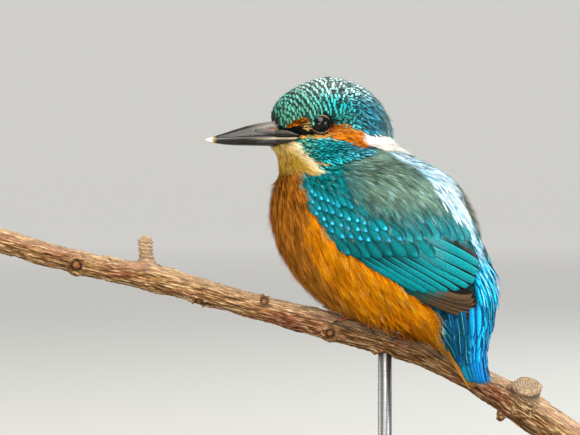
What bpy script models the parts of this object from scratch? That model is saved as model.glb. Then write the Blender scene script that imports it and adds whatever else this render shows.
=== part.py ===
"""Common kingfisher on a cut branch, held by a plain display stand.

The bird is modelled whole, as its plumage outlines it, and then parted by thin cuts into the
pieces that people name: head, neck, trunk, wings, tail, legs, claws, bill and eyes.
World axes: +Z up, the bird's left side faces -Y and its bill points to -X.
"""
import math

import bmesh
import bpy
from mathutils import Matrix, Vector

MM = 0.001
GAP = 0.3                            # clearance between neighbouring solids, mm

# Lengths below are in millimetres and are scaled to metres when a mesh is finished.

# ---- Stance of the bird --------------------------------------------------------------------
BODY_YAW = math.radians(26.0)        # breast turned away from -Y, tail turned towards it
HEAD_YAW = math.radians(-12.0)       # head turned back, bill a little towards -Y
HEAD_PLACE = (-19.8, 10.5)           # X and Y of the head's middle

# Trunk plumage in level slices: height, forward centre, half length, half width.
TRUNK_SLICES = (
    (128.0, 20.0, 14.0, 10.0),
    (125.0, 18.8, 22.5, 16.5),
    (122.4, 15.6, 24.7, 20.0),
    (118.4, 11.5, 29.0, 23.5),
    (114.1, 8.6, 33.1, 26.0),
    (108.7, 7.8, 35.9, 27.5),
    (100.8, 6.0, 38.1, 28.0),
    (92.5, 3.2, 38.9, 28.0),
    (85.3, 0.0, 38.9, 27.0),
    (78.1, -4.0, 37.8, 24.5),
    (72.7, -7.1, 35.7, 21.5),
    (67.3, -9.7, 31.9, 17.5),
    (63.0, -14.2, 26.6, 14.0),
    (60.1, -22.0, 17.6, 10.5),
    (56.5, -27.4, 10.6, 9.0),
    (52.2, -29.5, 5.2, 7.3),
    (47.2, -33.2, 2.3, 5.5),
    (43.5, -35.2, 1.0, 3.0),
)
TRUNK_SIDES = 32
TRUNK_ROUNDNESS = 2.15               # 2 is an ellipse, more is boxier

# Head plumage in upright slices: forward place, top, widest height, bottom, half width.
HEAD_SLICES = (
    (21.6, 139.0, 133.0, 127.0, 5.4),
    (19.2, 143.0, 133.5, 124.6, 8.4),
    (16.0, 145.6, 133.5, 122.0, 10.2),
    (12.0, 148.0, 133.5, 119.9, 11.6),
    (6.0, 150.6, 133.5, 118.4, 12.9),
    (0.0, 151.3, 133.5, 117.7, 13.8),
    (-6.0, 150.3, 133.0, 118.4, 14.2),
    (-12.0, 148.0, 132.0, 120.0, 13.8),
    (-16.0, 145.0, 131.5, 121.3, 12.6),
    (-19.0, 141.0, 131.0, 123.0, 10.8),
    (-21.5, 136.6, 130.4, 125.0, 8.0),
    (-23.0, 133.0, 130.0, 127.4, 4.4),
)
HEAD_SIDES = 28

# Where the head, neck and trunk part: X, Z of two points on each cut.
HEAD_CUT = ((-38.0, 121.7), (4.0, 130.2))
NECK_CUT = ((-39.0, 116.0), (16.0, 120.5))

# ---- Bill ----------------------------------------------------------------------------------
# Forward place, culmen height, gape height, lower edge, half width.
BILL_SLICES = (
    (18.0, 135.6, 129.7, 125.4, 4.6),
    (22.5, 134.6, 129.6, 126.1, 4.2),
    (27.0, 133.6, 129.4, 126.3, 3.6),
    (32.0, 132.2, 129.1, 126.6, 2.9),
    (37.0, 130.8, 128.8, 126.9, 2.2),
    (42.0, 129.4, 128.5, 127.4, 1.3),
    (45.9, 128.5, 128.3, 128.0, 0.4),
)
BILL_SIDES = 12

# ---- Eyes ----------------------------------------------------------------------------------
EYE_RADIUS = 4.6
EYE_PLACE = (5.6, 8.5, 134.2)        # forward, sideways, height of the eyeball's middle

# ---- Wings ---------------------------------------------------------------------------------
WING_DEPTH = 4.0                     # folded wing, through its feathers
# Outline of the folded wing from the side: forward place and height.
WING_OUTLINE = (
    (22.5, 112.5), (18.0, 108.5), (17.0, 102.8), (11.5, 96.5), (5.9, 92.0), (-1.0, 87.5),
    (-7.5, 84.5), (-15.3, 79.0), (-21.5, 72.5), (-27.5, 69.0), (-34.0, 67.0), (-46.0, 66.0),
    (-46.0, 100.0), (-32.0, 116.0), (-10.0, 122.0), (14.0, 120.0),
)

# ---- Tail ----------------------------------------------------------------------------------
# Height, forward centre, half thickness, half width.
TAIL_SLICES = (
    (70.0, -31.5, 1.7, 6.0),
    (60.0, -33.6, 1.7, 7.5),
    (52.0, -35.6, 1.5, 8.2),
    (46.0, -36.8, 1.3, 8.2),
    (42.5, -37.6, 1.0, 7.4),
    (41.2, -38.0, 0.7, 5.0),
)
TAIL_SIDES = 16

# ---- Branch --------------------------------------------------------------------------------
# X, Y, Z and radius along its middle.
BRANCH_COURSE = (
    (-141.5, 2.0, 93.0, 4.6),
    (-120.0, 1.5, 86.8, 4.5),
    (-100.0, 0.8, 82.0, 4.3),
    (-84.0, 0.3, 79.0, 5.0),
    (-55.0, 0.0, 70.8, 4.7),
    (-37.0, 0.0, 66.0, 4.8),
    (-23.0, 0.0, 62.3, 5.2),
    (-5.0, 0.0, 57.0, 4.7),
    (14.0, 0.0, 51.2, 4.7),
    (27.0, 0.3, 45.0, 4.7),
    (41.5, 1.0, 37.3, 5.8),
    (54.0, 2.0, 29.3, 6.7),
    (73.0, 3.5, 17.0, 5.7),
)
BRANCH_SIDES = 12
BRANCH_STEP = 6.0                    # spacing of its rings

# ---- Stand ---------------------------------------------------------------------------------
BASE_LENGTH = 110.0
BASE_WIDTH = 86.0
BASE_HEIGHT = 8.0
BASE_CORNER = 18.0
BASE_EDGE = 1.6
ROD_RADIUS = 2.5
ROD_TOP = 53.2
COLLAR_RADIUS = 6.5
COLLAR_HEIGHT = 2.6
SOCKET_DEPTH = 3.0

COLOURS = {                          # linear red, green, blue, then roughness and metallic
    "crown_teal": (0.03, 0.20, 0.19, 0.6, 0.0),
    "breast_orange": (0.58, 0.16, 0.01, 0.8, 0.0),
    "wing_teal": (0.01, 0.22, 0.22, 0.6, 0.0),
    "tail_blue": (0.01, 0.18, 0.40, 0.5, 0.0),
    "bill_horn": (0.03, 0.027, 0.022, 0.35, 0.0),
    "eye_dark": (0.010, 0.006, 0.004, 0.05, 0.0),
    "leg_skin": (0.35, 0.08, 0.03, 0.6, 0.0),
    "claw_horn": (0.03, 0.02, 0.015, 0.4, 0.0),
    "branch_bark": (0.26, 0.15, 0.08, 0.9, 0.0),
    "stand_wood": (0.05, 0.022, 0.010, 0.45, 0.0),
    "stand_metal": (0.10, 0.10, 0.10, 0.35, 1.0),
}


# ---- Small helpers -------------------------------------------------------------------------
def clear_scene():
    for obj in list(bpy.data.objects):
        bpy.data.objects.remove(obj, do_unlink=True)


def material(name):
    red, green, blue, roughness, metallic = COLOURS[name]
    made = bpy.data.materials.get(name) or bpy.data.materials.new(name)
    made.use_nodes = True
    shader = made.node_tree.nodes["Principled BSDF"]
    shader.inputs["Base Color"].default_value = (red, green, blue, 1.0)
    shader.inputs["Roughness"].default_value = roughness
    shader.inputs["Metallic"].default_value = metallic
    return made


def finish(bm, name, colour):
    """Turns a bmesh in millimetres into an object in metres, faces out and shaded smooth."""
    bmesh.ops.recalc_face_normals(bm, faces=bm.faces)
    bmesh.ops.scale(bm, vec=(MM, MM, MM), verts=bm.verts)
    mesh = bpy.data.meshes.new(name)
    bm.to_mesh(mesh)
    bm.free()
    mesh.shade_smooth()
    mesh.set_sharp_from_angle(angle=math.radians(50.0))
    obj = bpy.data.objects.new(name, mesh)
    bpy.context.scene.collection.objects.link(obj)
    obj.data.materials.append(material(colour))
    return obj


def combine(obj, other, operation):
    """Unites obj with other, cuts other out of it, or keeps only what both share."""
    step = obj.modifiers.new(operation.lower(), "BOOLEAN")
    step.operation = operation
    step.object = other
    graph = bpy.context.evaluated_depsgraph_get()
    mesh = bpy.data.meshes.new_from_object(obj.evaluated_get(graph))
    obj.modifiers.clear()
    obj.data = mesh
    return obj


def discard(*objects):
    for obj in objects:
        bpy.data.objects.remove(obj, do_unlink=True)


def copy_of(obj, name, colour):
    twin = bpy.data.objects.new(name, obj.data.copy())
    bpy.context.scene.collection.objects.link(twin)
    twin.data.materials.clear()
    twin.data.materials.append(material(colour))
    return twin


def loft(rings, name, colour):
    """A closed body through rings of points, each end rounded off by a raised middle point."""
    bm = bmesh.new()
    loops = []
    for ring in rings:
        verts = [bm.verts.new(point) for point in ring]
        count = len(verts)
        loops.append([bm.edges.new((verts[i], verts[(i + 1) % count])) for i in range(count)])
    for first, second in zip(loops, loops[1:]):
        bmesh.ops.bridge_loops(bm, edges=first + second)
    for edges in (loops[0], loops[-1]):
        made = bmesh.ops.contextual_create(bm, geom=edges)
        bmesh.ops.poke(bm, faces=made["faces"])
    return finish(bm, name, colour)


def smooth_rows(rows, step):
    """Rows of numbers refined by a Catmull-Rom curve, about one row for each step of the first."""
    fine = []
    for i in range(len(rows) - 1):
        before = rows[max(i - 1, 0)]
        here, there = rows[i], rows[i + 1]
        after = rows[min(i + 2, len(rows) - 1)]
        count = max(1, round(abs(there[0] - here[0]) / step))
        for k in range(count):
            t = k / count
            fine.append(tuple(
                0.5 * (2 * b + (c - a) * t + (2 * a - 5 * b + 4 * c - d) * t * t
                       + (3 * b - a - 3 * c + d) * t ** 3)
                for a, b, c, d in zip(before, here, there, after)))
    fine.append(rows[-1])
    return fine


def squircle(angle, power):
    """A point of a superellipse of half axes one."""
    c, s = math.cos(angle), math.sin(angle)
    return (math.copysign(abs(c) ** (2.0 / power), c), math.copysign(abs(s) ** (2.0 / power), s))


def body_point(forward, left, height):
    """From the body's own directions to the world's, in millimetres."""
    c, s = math.cos(BODY_YAW), math.sin(BODY_YAW)
    return Vector((-forward * c - left * s, forward * s - left * c, height))


def head_point(forward, left, height):
    c, s = math.cos(HEAD_YAW), math.sin(HEAD_YAW)
    return Vector((HEAD_PLACE[0] - forward * c - left * s,
                   HEAD_PLACE[1] + forward * s - left * c, height))


# ---- Trunk, head and neck ------------------------------------------------------------------
def trunk_loft(name, inset=0.0):
    """The plumage from the shoulders to the undertail coverts, or a body inset inside it."""
    rings = []
    for height, centre, half_length, half_width in smooth_rows(TRUNK_SLICES, 4.5):
        ring = []
        for k in range(TRUNK_SIDES):
            u, v = squircle(2 * math.pi * k / TRUNK_SIDES, TRUNK_ROUNDNESS)
            forward = centre + u * max(half_length - inset, 0.4)
            ring.append(body_point(forward, v * max(half_width - inset, 0.4), height))
        rings.append(ring)
    return loft(rings, name, "breast_orange")


def head_loft(name):
    rings = []
    for forward, top, middle, bottom, half_width in smooth_rows(HEAD_SLICES, 5.0):
        ring = []
        for k in range(HEAD_SIDES):
            u, v = squircle(2 * math.pi * k / HEAD_SIDES, 2.1)
            rise = top - middle if v > 0 else middle - bottom
            ring.append(head_point(forward, u * half_width, middle + v * rise))
        rings.append(ring)
    return loft(rings, name, "crown_teal")


def above(cut, name, shift):
    """A large block over a slanting cut through the bird, moved down by shift."""
    (x0, z0), (x1, z1) = cut
    slope = math.atan2(z1 - z0, x1 - x0)
    bm = bmesh.new()
    bmesh.ops.create_cube(bm, size=1.0)
    bmesh.ops.scale(bm, vec=(260.0, 120.0, 80.0), verts=bm.verts)
    bmesh.ops.translate(bm, vec=(0.0, 0.0, 40.0 - shift), verts=bm.verts)
    bmesh.ops.rotate(bm, verts=bm.verts, cent=(0, 0, 0), matrix=Matrix.Rotation(-slope, 3, "Y"))
    bmesh.ops.translate(bm, vec=((x0 + x1) / 2, 0.0, (z0 + z1) / 2), verts=bm.verts)
    return finish(bm, name, "breast_orange")


# ---- Bill and eyes -------------------------------------------------------------------------
def bill_loft(name, part, swell=0.0):
    """One mandible, or with swell the room both need. part is 'upper', 'lower' or 'both'."""
    rings = []
    for forward, culmen, gape, under, half_width in smooth_rows(BILL_SLICES, 5.0):
        ring = []
        for k in range(BILL_SIDES):
            u, v = squircle(2 * math.pi * k / BILL_SIDES, 1.9)
            rise = (culmen - gape if v > 0 else gape - under) + swell
            high = gape + v * rise
            if part == "upper":
                high = gape + max(v, 0.0) * rise + GAP / 2
            if part == "lower":
                high = gape + min(v, 0.0) * rise - GAP / 2
            ring.append(head_point(forward, u * (half_width + swell), high))
        rings.append(ring)
    return loft(rings, name, "bill_horn")


def eye_ball(name, side, swell=0.0):
    forward, sideways, height = EYE_PLACE
    bm = bmesh.new()
    bmesh.ops.create_uvsphere(bm, u_segments=14, v_segments=8, radius=EYE_RADIUS + swell)
    bmesh.ops.rotate(bm, verts=bm.verts, cent=(0, 0, 0), matrix=Matrix.Rotation(math.pi / 2, 3, "X"))
    bmesh.ops.translate(bm, vec=head_point(forward, side * sideways, height), verts=bm.verts)
    return finish(bm, name, "eye_dark")


# ---- Wings and tail ------------------------------------------------------------------------
def wing_prism(name, side, swell=0.0):
    """The folded wing's outline drawn out sideways from the body's middle."""
    centre = [sum(axis) / len(WING_OUTLINE) for axis in zip(*WING_OUTLINE)]
    bm = bmesh.new()
    verts = []
    for forward, height in WING_OUTLINE:
        away = Vector((forward - centre[0], height - centre[1]))
        away *= 1.0 + swell / away.length
        point = body_point(centre[0] + away.x, side * 5.0, centre[1] + away.y)
        verts.append(bm.verts.new(point))
    face = bm.faces.new(verts)
    made = bmesh.ops.extrude_face_region(bm, geom=[face])
    tops = [item for item in made["geom"] if isinstance(item, bmesh.types.BMVert)]
    outward = body_point(0.0, side * 40.0, 0.0)
    bmesh.ops.translate(bm, vec=outward, verts=tops)
    return finish(bm, name, "wing_teal")


def tail_loft(name, swell=0.0):
    rings = []
    for height, centre, half_depth, half_width in smooth_rows(TAIL_SLICES, 5.0):
        ring = []
        for k in range(TAIL_SIDES):
            u, v = squircle(2 * math.pi * k / TAIL_SIDES, 2.3)
            ring.append(body_point(centre + u * (half_depth + swell), v * (half_width + swell), height))
        rings.append(ring)
    return loft(rings, name, "tail_blue")


# ---- Branch --------------------------------------------------------------------------------
def branch_ring(x, y, z, radius, slope, swell):
    """A ring of the branch, upright to its course, with a low lumpy bark outline."""
    ring = []
    for k in range(BRANCH_SIDES):
        angle = 2 * math.pi * k / BRANCH_SIDES
        lump = 1.0 + 0.03 * math.sin(2.0 * angle + 0.09 * x) + 0.02 * math.sin(3.0 * angle - 0.21 * x)
        reach = radius * lump + swell
        up = reach * math.sin(angle)
        ring.append(Vector((x - up * math.sin(slope), y - reach * math.cos(angle), z + up * math.cos(slope))))
    return ring


def branch_rows():
    return smooth_rows(BRANCH_COURSE, BRANCH_STEP)


def branch_loft(name, swell=0.0):
    rows = branch_rows()
    rings = []
    for i, (x, y, z, radius) in enumerate(rows):
        before, after = rows[max(i - 1, 0)], rows[min(i + 1, len(rows) - 1)]
        slope = math.atan2(after[2] - before[2], after[0] - before[0])
        rings.append(branch_ring(x, y, z, radius, slope, swell))
    return loft(rings, name, "branch_bark")


def branch_at(x):
    """The branch's middle, radius and slope at a place along X."""
    rows = branch_rows()
    for here, there in zip(rows, rows[1:]):
        if here[0] <= x <= there[0]:
            t = (x - here[0]) / (there[0] - here[0])
            mixed = [a + (b - a) * t for a, b in zip(here, there)]
            return Vector(mixed[:3]), mixed[3], math.atan2(there[2] - here[2], there[0] - here[0])
    raise ValueError(x)


def on_branch(x, angle, lift):
    """A point round the branch: angle 0 faces -Y and 90 degrees is its top."""
    middle, radius, slope = branch_at(x)
    up = (radius + lift) * math.sin(angle)
    return middle + Vector((-up * math.sin(slope), -(radius + lift) * math.cos(angle), up * math.cos(slope)))


def stub(name, base, tip, radii, sides=14):
    """A short round stump from base to tip, its radius changing in even steps."""
    axis = (tip - base).normalized()
    turn = axis.to_track_quat("Z", "Y")
    rings = []
    for i, radius in enumerate(radii):
        centre = base.lerp(tip, i / (len(radii) - 1))
        rings.append([centre + turn @ Vector((radius * math.cos(a), radius * math.sin(a), 0.0))
                      for a in (2 * math.pi * k / sides for k in range(sides))])
    return loft(rings, name, "branch_bark")


def make_branch():
    branch = branch_loft("perch_branch")
    cut_stub = stub("cut_stub", Vector((50.0, 0.5, 31.0)), Vector((51.2, -5.0, 41.2)),
                    (6.4, 5.8, 5.2, 5.4, 4.8))
    broken_stub = stub("broken_stub", Vector((-85.5, 0.3, 80.0)), Vector((-86.4, -0.5, 93.6)),
                       (3.8, 3.2, 2.9, 2.6, 2.9, 2.2), sides=10)
    knot = stub("knot", on_branch(-111.0, math.radians(10.0), -2.5),
                on_branch(-111.0, math.radians(10.0), 0.7), (2.8, 2.4, 2.2), sides=10)
    bud = stub("bud", on_branch(45.5, math.radians(-70.0), -2.0),
               on_branch(45.5, math.radians(-70.0), 2.6), (3.0, 2.2, 1.5), sides=8)
    whorl = stub("whorl", on_branch(-20.5, math.radians(-42.0), -3.0),
                 on_branch(-20.5, math.radians(-42.0), 0.8), (3.6, 2.8, 1.8), sides=10)
    for piece in (cut_stub, broken_stub, knot, bud, whorl):
        combine(branch, piece, "UNION")
    discard(cut_stub, broken_stub, knot, bud, whorl)
    return branch


# ---- Legs ----------------------------------------------------------------------------------
# Each toe: X and angle (degrees) round the branch at its root, then at its tip, and its radius.
FEET = {
    "left": {
        "place": (-11.4, 98.0),
        "toes": (
            (-11.2, 98.0, -21.0, 86.0, 1.05),
            (-11.4, 92.0, -17.5, 30.0, 1.0),
            (-11.4, 104.0, -18.5, 150.0, 0.95),
            (-11.6, 96.0, -6.5, 40.0, 0.95),
        ),
    },
    "right": {
        "place": (11.4, 88.0),
        "toes": (
            (11.6, 88.0, 2.2, 104.0, 1.05),
            (11.4, 94.0, 5.0, 150.0, 1.0),
            (11.4, 82.0, 4.0, 34.0, 0.95),
            (11.2, 84.0, 17.0, 40.0, 0.95),
        ),
    },
}
TARSUS_RADIUS = 1.3
TARSUS_LENGTH = 6.5
CLAW_LENGTH = 3.0


def tube(points, radii, name, colour, sides=8):
    rings = []
    for i, (point, radius) in enumerate(zip(points, radii)):
        ahead = points[min(i + 1, len(points) - 1)] - points[max(i - 1, 0)]
        turn = ahead.normalized().to_track_quat("Z", "X")
        rings.append([point + turn @ Vector((radius * math.cos(a), radius * math.sin(a), 0.0))
                      for a in (2 * math.pi * k / sides for k in range(sides))])
    return loft(rings, name, colour)


def toe_points(toe, radius, start, end, count):
    """Places along a toe, resting on the bark, for shares of its length from start to end."""
    x0, a0, x1, a1, _ = toe
    points = []
    for i in range(count):
        t = start + (end - start) * i / (count - 1)
        angle = math.radians(a0 + (a1 - a0) * t)
        points.append(on_branch(x0 + (x1 - x0) * t, angle, radius * (1.0 - 0.3 * t) + 0.35))
    return points


def make_leg(side, swell=0.0):
    foot = FEET[side]
    x, angle = foot["place"]
    sole = on_branch(x, math.radians(angle), 1.7)
    knee = sole + Vector((0.0, 0.0, TARSUS_LENGTH))
    leg = tube([sole, sole.lerp(knee, 0.5), knee],
               [r + swell for r in (TARSUS_RADIUS * 1.1, TARSUS_RADIUS, TARSUS_RADIUS * 1.1)],
               "leg_" + side, "leg_skin")
    for toe in foot["toes"]:
        points = toe_points(toe, toe[4], 0.0, 1.0, 6)
        radii = [toe[4] * (1.0 - 0.3 * i / 5) + swell for i in range(6)]
        digit = tube(points, radii, "toe", "leg_skin")
        combine(leg, digit, "UNION")
        discard(digit)
    return leg


def make_claw(side, number, swell=0.0):
    """A claw that goes on from its toe's tip and bends down onto the bark."""
    toe = FEET[side]["toes"][number]
    ends = toe_points(toe, toe[4], 0.9, 1.0, 2)
    ahead = (ends[1] - ends[0]).normalized()
    middle = branch_at(ends[1].x)[0]
    down = (middle - ends[1]).normalized()
    start = ends[1] + ahead * (GAP + 0.25)
    points = []
    for i in range(4):
        t = i / 3
        points.append(start + ahead * CLAW_LENGTH * t + down * (-0.55 * t + 0.75 * t * t) * 1.0)
    radii = [radius + swell for radius in (0.62, 0.52, 0.34, 0.12)]
    return tube(points, radii, "claw_%s_%d" % (side, number + 1), "claw_horn", sides=6)


# ---- Stand ---------------------------------------------------------------------------------
def make_base():
    bm = bmesh.new()
    verts = []
    for quarter, (sx, sy) in enumerate(((1, 1), (-1, 1), (-1, -1), (1, -1))):
        for k in range(7):
            angle = math.pi / 2 * (quarter + k / 6)
            verts.append(bm.verts.new((sx * (BASE_LENGTH / 2 - BASE_CORNER) + BASE_CORNER * math.cos(angle),
                                       sy * (BASE_WIDTH / 2 - BASE_CORNER) + BASE_CORNER * math.sin(angle),
                                       0.0)))
    face = bm.faces.new(verts)
    made = bmesh.ops.extrude_face_region(bm, geom=[face])
    tops = [item for item in made["geom"] if isinstance(item, bmesh.types.BMVert)]
    bmesh.ops.translate(bm, vec=(0.0, 0.0, BASE_HEIGHT), verts=tops)
    rim = [edge for edge in bm.edges if all(v.co.z > BASE_HEIGHT / 2 for v in edge.verts)]
    bmesh.ops.bevel(bm, geom=rim, offset=BASE_EDGE, segments=3, profile=0.5, affect="EDGES",
                    material=-1)
    return finish(bm, "stand_base", "stand_wood")


def make_rod():
    """A turned rod with a collar that stands on the base."""
    foot = BASE_HEIGHT + GAP
    profile = (
        (0.0, foot), (COLLAR_RADIUS, foot), (COLLAR_RADIUS, foot + COLLAR_HEIGHT * 0.6),
        (COLLAR_RADIUS * 0.8, foot + COLLAR_HEIGHT), (ROD_RADIUS, foot + COLLAR_HEIGHT + 0.3),
        (ROD_RADIUS, ROD_TOP - 0.5), (ROD_RADIUS - 0.5, ROD_TOP), (0.0, ROD_TOP),
    )
    bm = bmesh.new()
    verts = [bm.verts.new((radius, 0.0, height)) for radius, height in profile]
    edges = [bm.edges.new(pair) for pair in zip(verts, verts[1:])]
    bmesh.ops.spin(bm, geom=verts + edges, cent=(0, 0, 0), axis=(0, 0, 1), angle=2 * math.pi,
                   steps=24, use_merge=True, use_duplicate=False)
    bmesh.ops.remove_doubles(bm, verts=bm.verts, dist=0.001)
    return finish(bm, "stand_rod", "stand_metal")


def rod_socket():
    bm = bmesh.new()
    bmesh.ops.create_cone(bm, cap_ends=True, segments=20, radius1=ROD_RADIUS + GAP,
                          radius2=ROD_RADIUS + GAP, depth=20.0)
    bmesh.ops.translate(bm, vec=(0.0, 0.0, ROD_TOP + GAP - 10.0), verts=bm.verts)
    return finish(bm, "rod_socket", "branch_bark")


# ---- The whole model -----------------------------------------------------------------------
def main():
    clear_scene()
    make_base()
    make_rod()
    branch = make_branch()
    socket = rod_socket()
    combine(branch, socket, "DIFFERENCE")

    tail_loft("tail")
    for side, name in ((1, "left"), (-1, "right")):
        eye_ball("eye_" + name, side)
        make_leg(name)
        for number in range(4):
            make_claw(name, number)
    bill_loft("bill_upper", "upper")
    bill_loft("bill_lower", "lower")

    # One body of plumage, with room left for what is set in it or lies against it.
    whole = trunk_loft("whole")
    head = head_loft("head_plumage")
    combine(whole, head, "UNION")
    room = [tail_loft("tail_room", GAP), bill_loft("bill_room", "both", GAP * 1.5),
            branch_loft("branch_room", GAP * 1.2)]
    for side, name in ((1, "left"), (-1, "right")):
        room.append(eye_ball("eye_room", side, GAP))
        room.append(make_leg(name, GAP))
        room += [make_claw(name, number, GAP) for number in range(4)]
    for piece in room:
        combine(whole, piece, "DIFFERENCE")
    discard(*room)

    # Thin cuts part it into head, neck, trunk and wings.
    over_head, under_head = above(HEAD_CUT, "cut_a", 0.0), above(HEAD_CUT, "cut_b", GAP)
    over_neck, under_neck = above(NECK_CUT, "cut_c", 0.0), above(NECK_CUT, "cut_d", GAP)
    head_node = combine(copy_of(whole, "head", "crown_teal"), over_head, "INTERSECT")
    neck = combine(copy_of(whole, "neck", "breast_orange"), over_neck, "INTERSECT")
    combine(neck, under_head, "DIFFERENCE")
    trunk = combine(copy_of(whole, "trunk", "breast_orange"), under_neck, "DIFFERENCE")
    core = trunk_loft("core", WING_DEPTH)
    core_room = trunk_loft("core_room", WING_DEPTH - GAP)
    for side, name in ((1, "left"), (-1, "right")):
        prism = wing_prism("prism", side)
        wing = combine(copy_of(trunk, "wing_" + name, "wing_teal"), prism, "INTERSECT")
        combine(wing, core_room, "DIFFERENCE")
        prism_room = wing_prism("prism_room", side, GAP)
        combine(prism_room, core, "DIFFERENCE")
        combine(trunk, prism_room, "DIFFERENCE")
        discard(prism, prism_room)
    discard(whole, head, core, core_room, over_head, under_head, over_neck, under_neck, socket)
    return head_node


if __name__ == "__main__":
    main()
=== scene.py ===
# %% [markdown]
# # A kingfisher on its perch
# A common kingfisher, a young male with his feathers fluffed, sits on a cut branch. A rod and a
# flat base hold the branch up, as in a museum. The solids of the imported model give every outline.
# This script dresses them: one skin under thousands of small feathers, flight feathers laid one
# by one, a horn bill, wet eyes, scaly feet, bark and a waxed wooden base.

# %% Load the frame
import math
from functools import partial

import bmesh
import bpy
import numpy as np
from mathutils import Matrix, Vector, noise
from mathutils.bvhtree import BVHTree


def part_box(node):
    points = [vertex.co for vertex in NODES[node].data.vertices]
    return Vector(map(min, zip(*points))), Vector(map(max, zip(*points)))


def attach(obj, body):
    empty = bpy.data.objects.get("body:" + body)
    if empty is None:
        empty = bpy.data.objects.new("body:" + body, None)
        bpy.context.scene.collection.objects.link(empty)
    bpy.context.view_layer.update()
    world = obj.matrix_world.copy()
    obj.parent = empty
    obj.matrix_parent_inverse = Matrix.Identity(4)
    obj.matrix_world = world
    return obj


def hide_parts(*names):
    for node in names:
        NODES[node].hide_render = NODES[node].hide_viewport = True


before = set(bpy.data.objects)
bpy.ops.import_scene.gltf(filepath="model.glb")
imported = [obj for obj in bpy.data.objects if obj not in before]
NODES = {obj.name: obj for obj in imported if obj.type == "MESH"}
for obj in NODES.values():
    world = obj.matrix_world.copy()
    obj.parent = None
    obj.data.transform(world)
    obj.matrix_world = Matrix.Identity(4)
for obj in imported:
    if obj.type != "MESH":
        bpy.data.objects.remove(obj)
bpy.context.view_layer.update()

MM = 0.001
scene = bpy.context.scene
rng = np.random.default_rng(11)
print("frame of", len(NODES), "nodes")

# %% [markdown]
# ## Directions on the bird
# Feathers are placed by where they grow on the bird, so the script needs the bird's own
# directions. The two eyes give the head's: the line between them is sideways, and forward is
# level and square to it. The trunk is turned 26 degrees. All lengths are in millimetres here, and
# a mesh is scaled to metres when it is made.

# %% Head and body directions
BODY_TURN = math.radians(26.0)


def box_of(name):
    """The lowest and highest corners of a node, in millimetres."""
    low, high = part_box(name)
    return np.array(low) / MM, np.array(high) / MM


def middle_of(name):
    low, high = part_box(name)
    return np.array((low + high) / 2) / MM


EYES = {"left": middle_of("eye_left"), "right": middle_of("eye_right")}
HEAD_LEFT = EYES["left"] - EYES["right"]
HEAD_LEFT /= np.linalg.norm(HEAD_LEFT)
HEAD_AHEAD = np.cross(HEAD_LEFT, (0.0, 0.0, 1.0))
EYE_AHEAD = 5.6                       # the eyes sit this far ahead of mid-head
HEAD_MIDDLE = (EYES["left"] + EYES["right"]) / 2 - HEAD_AHEAD * EYE_AHEAD
BODY_AHEAD = np.array((-math.cos(BODY_TURN), math.sin(BODY_TURN), 0.0))
BODY_LEFT = np.array((-math.sin(BODY_TURN), -math.cos(BODY_TURN), 0.0))

# The trunk's inner line: how far forward the middle of the body is at each height.
INNER_HEIGHTS = (42.0, 50.0, 60.0, 72.0, 85.0, 100.0, 110.0, 125.0)
INNER_AHEAD = (-36.0, -30.0, -21.0, -7.0, 0.0, 6.0, 8.0, 16.0)


def head_place(points):
    """How far ahead, to the left and up each point is, from the head's middle line."""
    away = points - HEAD_MIDDLE
    return away @ HEAD_AHEAD, away @ HEAD_LEFT, points[:, 2]


def head_point(ahead, left, height):
    """A point from its place ahead, to the left and up."""
    return HEAD_MIDDLE * (1, 1, 0) + HEAD_AHEAD * ahead + HEAD_LEFT * left + (0.0, 0.0, height)


def body_place(points):
    """Angle round the trunk in degrees, 0 at the breast and 180 at the back, and height."""
    ahead = points @ BODY_AHEAD - np.interp(points[:, 2], INNER_HEIGHTS, INNER_AHEAD)
    return np.degrees(np.arctan2(points @ BODY_LEFT, ahead)), points[:, 2]


print("head middle", HEAD_MIDDLE.round(1), "ahead", HEAD_AHEAD.round(2))

# %% [markdown]
# ## Small helpers
# Paint names are hex values as a colour card gives them, and one function turns them to the
# linear values that light works with. One more adds a shader node with its settings and links.


# %% Colours and nodes
def linear(hex_colour):
    """The linear red, green and blue of a hex colour such as #2A6F7B."""
    parts = [int(hex_colour[i:i + 2], 16) / 255.0 for i in (1, 3, 5)]
    return np.array([c / 12.92 if c <= 0.04045 else ((c + 0.055) / 1.055) ** 2.4 for c in parts])


def connect(made, **inputs):
    """Sets a node's inputs, named, or _ and a number, to values, hex colours or outputs."""
    for name, value in inputs.items():
        label = name.replace("_", " ")
        socket = made.inputs[int(label)] if label.strip().isdigit() else next(
            s for s in made.inputs if s.enabled and s.name == label)
        if isinstance(value, str):
            value = (*linear(value), 1.0)
        if isinstance(value, bpy.types.Node):
            value = next(s for s in value.outputs if s.enabled)
        if isinstance(value, bpy.types.NodeSocket):
            made.id_data.links.new(value, socket)
        else:
            socket.default_value = value


def node(tree, kind, settings=None, stops=(), **inputs):
    """Adds a node with its settings and inputs; stops are a ramp's (place, hex) colours."""
    made = tree.nodes.new("ShaderNode" + kind)
    for name, value in (settings or {}).items():
        setattr(made, name, value)
    for number, (place, colour) in enumerate(stops):
        band = made.color_ramp.elements
        stop = band[number] if number < min(len(band), 2) else band.new(place)
        stop.position = place
        stop.color = (*linear(colour), 1.0)
    connect(made, **inputs)
    return made


# Settings of a Mix node: one colour over another, or one darkened by another.
COLOUR = {"data_type": "RGBA"}
DARKEN = {"data_type": "RGBA", "blend_type": "MULTIPLY"}


def new_material(name, roughness, **sockets):
    """A new material, node() with the material's tree filled in, and its shader node."""
    made = bpy.data.materials.new(name)
    made.use_nodes = True
    shader = made.node_tree.nodes["Principled BSDF"]
    connect(shader, Roughness=roughness, **sockets)
    return made, partial(node, made.node_tree), shader


# %% [markdown]
# ## Camera and light
# The camera stands level with the bird, a little above the perch, with a long lens as wildlife
# pictures have. Large soft lamps stand in for an overcast sky: the strongest is above and ahead,
# weaker ones stand in front and at the sides, and one behind lets the edges of the feathers catch
# light. A small one makes the glint in the eye.

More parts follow.
